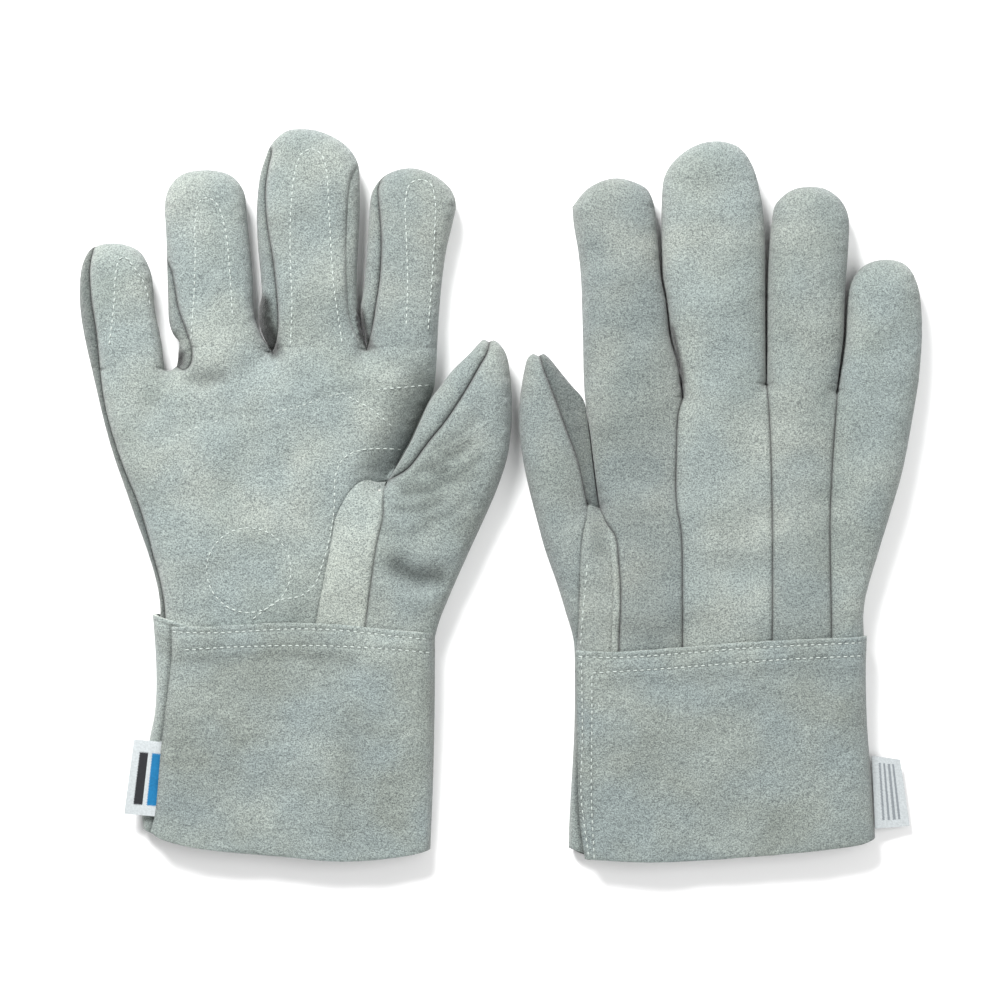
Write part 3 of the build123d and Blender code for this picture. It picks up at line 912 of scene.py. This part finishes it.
def down_upper(p, rim):
    """The back, finger backs and thumb of the palm-down glove."""
    thumb = signed_side(p, DOWN_SLIT)[0] > 0
    y = p[:, 1]
    high = np.full(len(p), TOP) - 1.6 * ease((-44 - y) / 14)       # thinner towards the cuff
    high -= np.where(thumb, 2.0, 0) * ease((y + 25) / 40)          # the thumb lies lower
    high -= np.where(thumb, 3.8, 0) * np.exp(-(distance(p, DOWN_SHADE) / 9) ** 2)  # inner panel
    z = dome(p, rim, down_foot(p), high, DOWN_RIPPLES)
    z -= valley_dip(p, DOWN_VALLEYS)
    return z - seam_dip(p, DOWN_SEAMS) * np.clip(rim / 1.5, 0, 1)


DOWN_UNDER_SEAMS = [
    (inset(smooth(DOWN_LITTLE), (5, 5.5, 6, 6, 6, 5, 4, 4, 3.5, 3, 0)), 1.2, 0, 0.7),
    (inset(smooth(DOWN_RING), (0, 4, 4, 4, 4, 4, 4, 0)), 1.2, 0, 0.7),
    (inset(smooth(DOWN_MIDDLE), (0, 4, 4, 4, 4, 4, 4, 4, 0)), 1.2, 0, 0.7),
    (inset(smooth(DOWN_INDEX_RIGHT[:-1] + DOWN_INDEX_LEFT), (0, 4, 4, 4, 4, 4, 4, 4, 3, 0)),
     1.2, 0, 0.7),
    (smooth([(38.9, -5), (44, -8), (48, -16), (50, -30), (52, -71)]), 1.0, 0, 0.7),
    (smooth([(38.9, -5), (36.5, -12), (36, -25), (37, -45), (38, -71)]), 1.0, 0, 0.7),
]
DOWN_SEEDS = {
    "back_little": [(145, 0)],
    "back_ring": [(118, 0)],
    "back_middle": [(88, 0)],
    "back_index": [(55, 0)],
    "little_back": [(150, 70)],
    "ring_back": [(120, 90)],
    "middle_back": [(84, 100)],
    "index_back": [(48, 90)],
    "saddle_strip": [(37, -30)],
    "thumb_welt": [(44.6, -30)],
    "thumb_back": [(14, 30)],
    "base_back": [(26, -25)],
    "thumb_inner": [(31, 25)],
}
DOWN_UNDER_SEEDS = {
    "palm": [(90, 0)],
    "little_front": [(150, 70)],
    "ring_front": [(120, 90)],
    "middle_front": [(84, 100)],
    "index_front": [(48, 90)],
    "little_sides": [(164.5, 65)],
    "ring_sides": [(106.5, 85), (134.8, 80)],
    "middle_sides": [(65, 95), (102.5, 80)],
    "index_sides": [(61.5, 90), (33.4, 80)],
    "side_edge": [(155, 5), (37.2, 20)],
    "under_saddle": [(43, -30)],
    "thumb_front": [(20, 30)],
    "base_front": [(28, -30)],
}

# Undersides stay clear of the cuff's lower sheet from these places on, towards the mouth.
UP_WRIST, DOWN_WRIST = -44, -50
up_lower = lower(up_rim, UP_UNDER_SEAMS, UP_WRIST)
down_lower = lower(down_foot, DOWN_UNDER_SEAMS, DOWN_WRIST)
# Painted shade in folds, crotches and gaps, for the sides of the gloves that have any.
EXTRA_PAINTED_SHADES = {(UP, "upper"): up_painted_shade, (DOWN, "upper"): down_painted_shade}
# How light each cut of leather is, where it differs from the rest; on the side panels between the
# fingers and on the palm-down thumb's inner panel, which lie in shade, the darkening is painted
# shade.
TONES_AND_SHADES = {
    (UP, "thumb_front"): 0.88, (UP, "base_front"): 0.93, (UP, "thumb_inner"): 0.92,
    (UP, "little_sides"): 0.62, (UP, "side_edge"): 0.68, (UP, "middle_sides"): 0.85,
    (UP, "ring_sides"): 0.84, (UP, "web_side"): 0.80, (UP, "index_sides"): 0.86,
    (UP, "index_front"): 0.84, (UP, "middle_front"): 0.93, (UP, "ring_front"): 0.97,
    (UP, "saddle_strip"): 1.03,
    (DOWN, "index_back"): 0.79, (DOWN, "back_index"): 0.75, (DOWN, "middle_back"): 0.95,
    (DOWN, "back_middle"): 0.94, (DOWN, "ring_back"): 0.87, (DOWN, "back_ring"): 0.87,
    (DOWN, "little_back"): 0.95, (DOWN, "back_little"): 0.95, (DOWN, "thumb_back"): 0.81,
    (DOWN, "base_back"): 0.83, (DOWN, "thumb_inner"): 0.50,
    (DOWN, "saddle_strip"): 0.77, (DOWN, "thumb_welt"): 0.86,
}


def build(glove, side, loop, height, seams, cuts, seeds, spacing):
    """Adds the leather pieces of one side of a glove."""
    for name, verts, faces, normals, painted_shade in leather(glove, side, loop, height, seams, cuts, seeds,
                                                     spacing, RINGS,
                                                     EXTRA_PAINTED_SHADES.get((glove, side), no_painted_shade)):
        trim = "saddle" in name or "welt" in name
        piece = add_piece(f"{glove}_{name}_leather", verts, faces, normals,
                          TRIM_SUEDE if trim else SUEDE, PANEL_THICK, painted_shade,
                          TONES_AND_SHADES.get((glove, name), 1.0))
        attach(piece, glove, name)
        if f"{glove}_{name}" in NODES:
            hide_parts(f"{glove}_{name}")


build(UP, "upper", UP_LOOP, up_upper, UP_SEAMS, UP_CUTS, UP_SEEDS, SPACING)
build(UP, "lower", UP_LOOP, up_lower, UP_UNDER_SEAMS, UP_CUTS, UP_UNDER_SEEDS, UNDER_SPACING)
build(DOWN, "upper", DOWN_LOOP, down_upper, DOWN_SEAMS, DOWN_CUTS, DOWN_SEEDS, SPACING)
build(DOWN, "lower", DOWN_LOOP, down_lower, DOWN_UNDER_SEAMS, DOWN_CUTS, DOWN_UNDER_SEEDS,
      UNDER_SPACING)


# ---- linings ------------------------------------------------------------------------
def lining(glove, loop, heights, cuts, seeds):
    """A fleece bag just inside the leather, in one piece for each body."""
    sheets = {}
    for side, height in zip(("upper", "lower"), heights):
        for name, verts, faces, normals, _ in leather(glove, side, loop, height, [], cuts, seeds,
                                                      LINING_SPACING, LINING_RINGS):
            moved = verts - normals * LINING_DEPTH
            flat = moved[:, :2]
            gap = distance(flat, loop, True)
            safe = (inside(flat, loop) & (gap > EDGE_CLEAR)
                    & (moved[:, 2] < heights[0](flat, gap) - LINING_CLEAR)
                    & (moved[:, 2] > heights[1](flat, gap) + LINING_CLEAR))
            faces = faces[safe[faces].all(1)]
            used, packed = np.unique(faces, return_inverse=True)
            sheets.setdefault(name, []).append((moved[used], packed.reshape(-1, 3),
                                                normals[used]))
    for name, parts in sheets.items():
        shift = len(parts[0][0])
        verts = np.vstack([p[0] for p in parts])
        faces = np.vstack([parts[0][1], parts[1][1] + shift])
        normals = np.vstack([p[2] for p in parts])
        piece = add_piece(f"{glove}_{name}_lining_fleece", verts, faces, normals, FLEECE,
                          FLEECE_THICK)
        attach(piece, glove, name)
        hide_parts(f"{glove}_{name}_lining")


lining(UP, UP_LOOP, (up_upper, up_lower), UP_CUTS,
       {"hand": [(-100, 0)], "little": [(-150, 75)], "ring": [(-114, 90)],
        "middle": [(-75, 100)], "index": [(-38, 90)], "thumb": [(-8, 30)]})
lining(DOWN, DOWN_LOOP, (down_upper, down_lower), DOWN_CUTS,
       {"hand": [(90, 0)], "little": [(150, 70)], "ring": [(120, 90)],
        "middle": [(84, 100)], "index": [(48, 90)], "thumb": [(14, 30)]})


# ---- cuffs --------------------------------------------------------------------------
def resample(line, count):
    """Points along a line: so many, evenly spaced, or at the shares of its length given."""
    run = np.concatenate([[0], np.cumsum(np.linalg.norm(np.diff(line, axis=0), axis=1))])
    at = run[-1] * (np.linspace(0, 1, count) if np.isscalar(count) else count)
    return np.column_stack([np.interp(at, run, line[:, 0]), np.interp(at, run, line[:, 1])])


def patch(top, bottom, left, right, across, along):
    """A grid of points filling four edges; top and bottom run left to right.

    along gives where the rows lie, from 0 at the top to 1 at the bottom."""
    top, bottom = resample(smooth(top), across), resample(smooth(bottom), across)
    left, right = resample(smooth(left), along), resample(smooth(right), along)
    u = np.linspace(0, 1, across)[None, :, None]
    v = along[:, None, None]
    corners = ((1 - u) * (1 - v) * top[0] + u * (1 - v) * top[-1]
               + (1 - u) * v * bottom[0] + u * v * bottom[-1])
    return ((1 - v) * top[None] + v * bottom[None] + (1 - u) * left[:, None]
            + u * right[:, None] - corners)


def grid_faces(rows, columns):
    index = np.arange(rows * columns).reshape(rows, columns)
    a, b = index[:-1, :-1].ravel(), index[:-1, 1:].ravel()
    c, d = index[1:, 1:].ravel(), index[1:, :-1].ravel()
    return np.vstack([np.column_stack([a, d, b]), np.column_stack([b, d, c])])


CUFF_ACROSS = 110                           # points across a cuff sheet
CUFF_ROWS = np.linspace(0, 1, 84) ** 1.5    # where its rows lie, closer near the wrist


def cuff_level(grid, wrist, mouth, seed):
    """Height of the upper sheet of a cuff away from its sides."""
    v = CUFF_ROWS[:, None]
    x, y = grid[..., 0], grid[..., 1]
    level = mouth + (wrist - mouth) * (1 - ease(v * 1.05)) ** 0.9
    level = level + 0.5 * ripple(x, y, 55, seed) * ease(v * 2) + 0.3 * ripple(x, y, 22, seed + 1)
    return level + 0.12 * ripple(x, y, 7, seed + 2)


def side_gap(grid, column):
    """Distance from each point of a grid to the point of its row in a given column."""
    return np.linalg.norm(grid - grid[:, column][:, None], axis=2)


def rounded(level, gap, foot, reach):
    """Height that rounds over from foot at a side to level further in."""
    return foot + (level - foot) * np.sqrt(1 - np.exp(-2 * gap / reach))


def cuff_sheet(glove, part, grid, height, upward, shades):
    """One sheet of a cuff; shades are its lines of painted shade: (line, how dark, half width)."""
    verts = np.column_stack([grid.reshape(-1, 2), height.ravel()])
    faces = grid_faces(*grid.shape[:2])
    if not upward:
        faces = faces[:, ::-1]
    normals = vertex_normals(verts, faces)
    flat = grid.reshape(-1, 2)
    border = np.vstack([grid[:, -1], grid[-1][::-1], grid[::-1, 0]])
    # Painted shade along the sides and the mouth, where the sheet turns away.
    painted_shade = 0.27 * np.exp(-distance(flat, border) / 0.9)
    for line, shade_darkness, width in shades:
        painted_shade = np.maximum(painted_shade, shade_darkness * np.exp(-(distance(flat, line) / width) ** 2))
    top = distance(flat, grid[0])
    painted_shade = np.where(top < 1.0, 0, painted_shade)
    tone_and_shade = CUFFS[glove]["tint"] * (1 + 0.30 * np.exp(-(top / 0.6) ** 2))
    piece = add_piece(f"{glove}_{part}_leather", verts, faces, normals, CUFF_SUEDE, CUFF_THICK,
                      painted_shade, tone_and_shade)
    piece.data.materials.append(TRIM_SUEDE)
    rim_start = 2 * len(faces)
    for polygon in piece.data.polygons[rim_start:]:
        polygon.material_index = 1
    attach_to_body(piece, f"{glove}_hand")
    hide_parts(f"{glove}_{part}")


CUFF_STITCHES = {
    UP: [
        [(-128.6, -53.6), (-114, -54), (-83.5, -52.5), (-66, -52.8), (-41, -55.4), (-27.5, -56.7)],
        [(-123.4, -60.6), (-101.7, -59.4), (-71.7, -59), (-41.3, -60.6), (-29, -61.8)],
    ],
    DOWN: [
        [(31, -63.3), (45.6, -63.7), (69, -62.2), (92, -60.3), (115, -59), (143.5, -57.8)],
        [(36.5, -69.7), (63, -68.1), (92.2, -65.8), (115.1, -64.2), (132.5, -63.4), (143, -63)],
        [(31.4, -63.8), (31.8, -95), (31.4, -118.3), (34.2, -141.2)],
        [(35.5, -71.7), (35.5, -93), (35.4, -118.3), (36.5, -142.4)],
    ],
}
CUFFS = {
    UP: {
        "top": [(-129.6, -51.6), (-114, -51.5), (-83.5, -50), (-66, -50.5), (-41, -53),
                (-26.3, -54.3)],
        "bottom": [(-138.6, -132.6), (-135, -135.2), (-123, -138.6), (-83.5, -142.8),
                   (-61, -144.4), (-36, -142), (-28.2, -140)],
        "left": [(-129.6, -51.6), (-129.7, -63.8), (-131, -75), (-133, -90.9), (-134, -98),
                 (-136.8, -126), (-138.6, -132.6)],
        "right": [(-26.3, -54.3), (-26.4, -80), (-27, -110), (-28.2, -140)],
        "under_left": [(-138, -47), (-136.9, -62), (-136.6, -76), (-137.4, -87), (-139.4, -97),
                       (-142.3, -127), (-141.9, -132)],
        "under_bottom": [(-141.9, -132), (-137, -133.8), (-123, -137.2), (-83.5, -141.5),
                         (-61, -143), (-36, -141), (-28.2, -140)],
        "sheets": ("cuff_palm_side", "cuff_back_side"),
        "tint": 1.0,
        "seed": 31,
        "valleys": [([(-126, -66), (-110, -65), (-85, -64), (-60, -66)], 0.9, 3.5),
                    ([(-58, -92), (-59.5, -115), (-61, -143)], 0.9, 5)],
    },
    DOWN: {
        "top": [(29.4, -61), (45.6, -61.4), (69, -59.8), (92, -57.9), (115, -56.7),
                (144.4, -55.5)],
        "bottom": [(32.9, -143.6), (54.7, -144.6), (74.5, -144.2), (102, -142.2),
                   (127.4, -139.8), (142.4, -137.6), (147.9, -135.5)],
        "left": [(29.4, -61), (29.9, -96.5), (30.6, -125), (32.9, -143.6)],
        "right": [(144.4, -55.5), (144, -69), (144.7, -92.5), (146, -108), (147.9, -135.5)],
        "under_left": [(29, -61), (28.8, -92), (26.9, -128), (26.6, -139.5)],
        "under_bottom": [(26.6, -139.5), (32.6, -142.4), (54.7, -143.2), (74.5, -143),
                         (102, -141), (127.4, -138.6), (142.4, -136.8), (147.9, -135.5)],
        "sheets": ("cuff_back_side", "cuff_palm_side"),
        "tint": 0.94,
        "seed": 41,
        "valleys": [([(45, -74), (75, -74), (110, -70), (138, -72)], 0.7, 4.0)],
    },
}
CUFF_SURFACE = {}       # each glove's upper cuff sheet: grid and height
LAP_SURFACE = {}        # the part of its lower cuff sheet that laps past the upper one
CUFF_WRIST, CUFF_MOUTH = 19.9, 12.8     # height of the upper sheet at its two ends
UPPER_ROUND, UNDER_ROUND = 5.5, 2.6     # how far the rounding of a sheet's side reaches in
LAP_COLUMNS = 15        # columns of the lap, which starts below the upper sheet
TUCK = 8                # column of the upper sheet below which the lap starts


def dips(grid, lines):
    """Depth of valleys (line, depth, half width) at the points of a grid."""
    return valley_dip(grid.reshape(-1, 2), lines).reshape(grid.shape[:2])


def upper_cuff_sheet(glove, foot):
    """The cuff's visible sheet, which rounds over to foot at its right side."""
    edges = CUFFS[glove]
    rows = CUFF_STITCHES[glove]
    grid = patch(edges["top"], edges["bottom"], edges["left"], edges["right"], CUFF_ACROSS,
                 CUFF_ROWS)
    level = cuff_level(grid, CUFF_WRIST, CUFF_MOUTH, edges["seed"])
    level = level - dips(grid, edges["valleys"]) - dips(grid, [(row, 0.35, 0.8) for row in rows])
    height = rounded(level, side_gap(grid, -1), foot, UPPER_ROUND)
    height = height - 2.2 * np.exp(-side_gap(grid, 0) / 2.2)
    CUFF_SURFACE[glove] = (grid, height)
    # Painted shade in the grooves of the stitch rows and along the valleys.
    shades = [(smooth(row), 0.30, 0.55) for row in rows]
    shades += [(smooth(line), 0.115 * depth, 1.3 * width)
               for line, depth, width in edges["valleys"]]
    cuff_sheet(glove, edges["sheets"][0], grid, height, True, shades)


def under_cuff_sheet(glove, foot):
    """The cuff's sheet on the table, with the lap that shows left of the upper sheet."""
    edges = CUFFS[glove]
    side_foot = 6.5 - 2.0 * CUFF_ROWS[:, None]
    grid, height = CUFF_SURFACE[glove]
    tucked = grid[:, TUCK]
    across = np.linspace(0, 1, LAP_COLUMNS + 1)[None, :-1]
    lap = tucked[:, None] + (resample(smooth(edges["under_left"]), CUFF_ROWS)
                             - tucked)[:, None] * across[..., None]
    flat = patch([edges["under_left"][0], edges["right"][0]], edges["under_bottom"],
                 edges["under_left"], edges["right"], CUFF_ACROSS, CUFF_ROWS)
    lap_top = height[:, TUCK][:, None] - 3.0 - across * 2.0
    lap_gap = np.linalg.norm(lap - flat[:, :1], axis=2)
    under = rounded(0.05, side_gap(flat, 0), side_foot, UNDER_ROUND)
    under = under + rounded(0.0, side_gap(flat, -1), foot - 0.3, UNDER_ROUND)
    lap_height = rounded(lap_top, lap_gap, side_foot, UNDER_ROUND)
    LAP_SURFACE[glove] = (lap, lap_height)
    # Painted shadow that the upper sheet's left edge throws on the lap.
    cuff_sheet(glove, edges["sheets"][1], np.concatenate([lap, flat], axis=1),
               np.concatenate([lap_height, under], axis=1), False,
               [(smooth(edges["left"]), 0.53, 1.5)])


for glove in CUFFS:
    cuff_foot = 8.5 - 3.5 * CUFF_ROWS[:, None]
    upper_cuff_sheet(glove, cuff_foot)
    under_cuff_sheet(glove, cuff_foot)


# ---- stitching ----------------------------------------------------------------------
def on_cuff(glove):
    """A height function for points on the upper sheet of a cuff."""
    grid, height = CUFF_SURFACE[glove]
    flat, levels = grid.reshape(-1, 2), height.ravel()

    def level(p):
        out = np.empty(len(p))
        for i, one in enumerate(p):
            gap = ((flat - one) ** 2).sum(1)
            near = np.argpartition(gap, 4)[:4]
            weight = 1 / (gap[near] + 1e-6)
            out[i] = (levels[near] * weight).sum() / weight.sum()
        return out
    return level


def on_bag(loop, height):
    return lambda p: height(p, distance(p, loop, True))


def stitches(line, level, pitch=2.6, length=1.8, radius=0.26):
    """Small capsules of thread along a line; returns [(centre, vertices, faces)]."""
    line = smooth(line, 0.5)
    count = max(2, int(np.linalg.norm(np.diff(line, axis=0), axis=1).sum() / pitch))
    spots = resample(line, count)
    heading = np.gradient(spots, axis=0)
    heading /= np.linalg.norm(heading, axis=1)[:, None]
    ahead = level(spots + heading * length / 2)
    behind = level(spots - heading * length / 2)
    sunk = np.random.default_rng(len(spots)).uniform(-0.08, 0.14, len(spots))
    out = []
    for spot, way, high, low, lift in zip(spots, heading, ahead, behind, sunk):
        along = np.array([*(way * length), high - low])
        centre = np.array([*spot, (high + low) / 2 + lift])
        size = np.linalg.norm(along)
        along /= size
        side = np.array([-way[1], way[0], 0])
        up = np.cross(side, along) * -1
        rings = []              # three rings of six points, and a tip at each end
        for t, thick in ((-0.32, 0.85), (0, 1), (0.32, 0.85)):
            for k in range(6):
                turn = math.tau * k / 6
                rings.append(centre + along * t * size
                             + radius * thick * (side * math.cos(turn) + up * math.sin(turn)))
        tips = [centre - along * size / 2 - up * 0.25, centre + along * size / 2 - up * 0.25]
        faces = []
        for ring in range(2):
            for k in range(6):
                a, b = ring * 6 + k, ring * 6 + (k + 1) % 6
                faces += [(a, b, b + 6), (a, b + 6, a + 6)]
        for k in range(6):
            faces += [(18, (k + 1) % 6, k), (19, 12 + k, 12 + (k + 1) % 6)]
        out.append((spot, np.vstack([rings, tips]), np.array(faces)))
    return out


def volume(verts, faces):
    """Volume inside closed faces, negative if they face inwards."""
    a, b, c = (verts[faces[:, i]] for i in range(3))
    return np.einsum("ij,ij->i", a, np.cross(b, c)).sum() / 6


def add_thread(name, glove, part, found):
    """Joins stitches into one piece of thread, facing outwards."""
    shift, verts, faces = 0, [], []
    for _, v, f in found:
        verts.append(v)
        faces.append(f + shift)
        shift += len(v)
    verts, faces = np.vstack(verts), np.vstack(faces)
    if volume(verts, faces) < 0:
        faces = faces[:, ::-1]
    piece = add_piece(name, verts, faces, vertex_normals(verts, faces), THREAD)
    attach(piece, glove, part)


def circle(x, y, radius):
    turns = np.radians(np.linspace(0, 360, 25))
    return [(x + radius * math.cos(t), y + radius * math.sin(t)) for t in turns]


UP_ROWS = [
    [(-154, 60), (-152.2, 75), (-151.6, 86), (-150.5, 92), (-148.7, 93.8), (-146.8, 92.5),
     (-140.8, 84), (-138.6, 76)],
    [(-122, 62), (-120.8, 80), (-120.3, 95), (-120.3, 108), (-118.5, 115.5), (-115.5, 116.8),
     (-111.8, 114.5), (-108.3, 103), (-106.8, 88), (-105.8, 72)],
    [(-83, 60), (-82.3, 75), (-83.1, 97), (-82.5, 115), (-81.2, 127), (-78.3, 134.5),
     (-74, 136), (-70.5, 133.5), (-68.6, 126), (-67.7, 110), (-66, 84), (-62.8, 61)],
    [(-37.4, 68), (-36.9, 83), (-37.4, 102), (-37.8, 115), (-36.2, 122), (-32.6, 124),
     (-28, 122.5), (-26.2, 117), (-26.3, 102), (-27.5, 83), (-28.8, 66)],
    [(-132.5, 21.5), (-123, 25.5), (-113, 29), (-98, 31.8), (-83, 34), (-72, 37.6),
     (-63.5, 40), (-51, 41.3), (-38.5, 42.5), (-29.5, 43.6)],
    [(-62, 40), (-58, 37.6), (-51, 33.8), (-43.8, 27.8)],
    [(-40.5, 18.2), (-48, 18.4), (-56, 17.6), (-62, 14.5), (-65, 8.5), (-65.8, -5.5),
     (-67.6, -17), (-70.4, -27), (-73.5, -35), (-79, -39.5), (-87.5, -41.3), (-97, -48)],
    circle(-99.3, -29.4, 16.6),
]
DOWN_ROWS = [
    [(33.6, -28), (32.8, -38), (31.9, -47), (31.2, -58)],
]


def region(glove, spot):
    """The finger or thumb that a place on a glove belongs to, if any."""
    x, y = spot
    if glove == UP:
        if x < -133 and y > UP_LITTLE_ROOT:
            return "little"
        if y > UP_ROOT and x < -20:
            return "ring" if x < -92 else "middle" if x < -55.5 else "index"
    return "hand"


def sew(glove, rows, level):
    """Sews rows of stitches, as one piece of thread for each part of the glove."""
    groups = {}
    for row in rows:
        for item in stitches(row, level):
            groups.setdefault(region(glove, item[0]), []).append(item)
    for part, found in groups.items():
        add_thread(f"{glove}_{part}_stitching", glove, part, found)


sew(UP, UP_ROWS, on_bag(UP_LOOP, up_upper))
sew(DOWN, DOWN_ROWS, on_bag(DOWN_LOOP, down_upper))
for glove, rows in CUFF_STITCHES.items():
    found = [item for row in rows for item in stitches(row, on_cuff(glove))]
    add_thread(f"{glove}_cuff_stitching", glove, "cuff", found)


# ---- labels -------------------------------------------------------------------------
def label(glove, corners, heights, bands, flat):
    """A woven tag sewn into the cuff's side seam; bands are (from, to, material)."""
    a, b, c, d = (np.array(p, float) for p in corners)
    across, along = 30, 48
    u = np.linspace(0, 1, across)[None, :, None]
    v = np.linspace(0, 1, along)[:, None, None]
    grid = (1 - v) * ((1 - u) * a + u * b) + v * ((1 - u) * d + u * c)
    slack = 0.4 * np.sin(3 * v[..., 0] + u[..., 0]) * (1 - u[..., 0])
    z = heights[0] + (heights[1] - heights[0]) * u[..., 0] + slack
    lap, lap_height = LAP_SURFACE[glove]
    for place in np.ndindex(z.shape):
        gaps = np.linalg.norm(lap - grid[place], axis=2)
        near = gaps.argmin()
        z[place] = max(z[place], lap_height.flat[near] + 0.6 - 0.7 * gaps.flat[near])
    verts = np.column_stack([grid.reshape(-1, 2), z.ravel()])
    faces = grid_faces(along, across)
    piece = add_piece(f"{glove}_label_tape", verts, faces, vertex_normals(verts, faces), TAPE,
                      LABEL_THICK)
    slots = {}
    for *_, material in bands:
        if material.name not in slots:
            piece.data.materials.append(material)
            slots[material.name] = len(piece.data.materials) - 1
    share_u = np.broadcast_to(u[..., 0], z.shape).ravel()[faces].mean(1)
    share_v = np.broadcast_to(v[..., 0], z.shape).ravel()[faces].mean(1)
    for low, high, material in bands:
        hit = ((share_u > low[0]) & (share_u < high[0]) & (share_v > low[1])
               & (share_v < high[1]))
        for index in np.flatnonzero(hit):
            piece.data.polygons[int(index)].material_index = slots[material.name]
    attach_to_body(piece, f"{glove}_hand")
    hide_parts(f"{glove}_label")


label(UP, [(-145.2, -96.4), (-132.2, -97.4), (-135, -126.8), (-149.1, -125.8)], (8.6, 10.8),
      [((0.60, 0.16), (1.1, 0.86), BLUE_TAPE), ((0.22, 0.16), (0.48, 0.86), BLACK_TAPE)],
      (0.0137, 0.0295))
label(DOWN, [(146.5, -103), (158, -104.6), (161.8, -131), (147.8, -131.8)], (6.5, 3.6),
      [((start, 0.08), (start + 0.07, 0.9), GREY_TAPE) for start in (0.22, 0.38, 0.54, 0.70)],
      (0.0128, 0.0278))


# ---- floor, light and camera --------------------------------------------------------
def plain(name, colour, rough):
    material, _, shader = new_material(name)
    fill(shader, {"Base Color": (*colour, 1), "Roughness": rough})
    return material


bpy.ops.mesh.primitive_plane_add(size=8, location=(0, 0, -0.0005))
floor = bpy.context.object
floor.name = "floor"
floor.data.materials.append(plain("floor", (0.93, 0.93, 0.93), 0.9))

world = bpy.data.worlds.new("studio")
world.use_nodes = True
fill(world.node_tree.nodes["Background"], {"Color": (1, 1, 1, 1), "Strength": 0.52})
bpy.context.scene.world = world
bpy.context.scene.view_settings.view_transform = "Standard"


def area_light(name, place, aim, size, power):
    light = bpy.data.lights.new(name, "AREA")
    light.shape = "SQUARE"
    light.size = size
    light.energy = power
    lamp = bpy.data.objects.new(name, light)
    bpy.context.scene.collection.objects.link(lamp)
    lamp.location = place
    lamp.rotation_euler = (Vector(aim) - Vector(place)).to_track_quat("-Z", "Y").to_euler()
    return lamp


area_light("key", (-0.45, 0.95, 1.0), (0, 0, 0), 0.5, 38)
area_light("fill", (0.7, -0.1, 1.4), (0, 0, 0), 1.2, 12)

camera_data = bpy.data.cameras.new("camera")
camera_data.sensor_width = 36
camera_data.lens = 150
camera = bpy.data.objects.new("camera", camera_data)
bpy.context.scene.collection.objects.link(camera)
camera.location = (-0.0006, -0.0018, 1.655)
camera.rotation_euler = (0, 0, 0)
bpy.context.scene.camera = camera
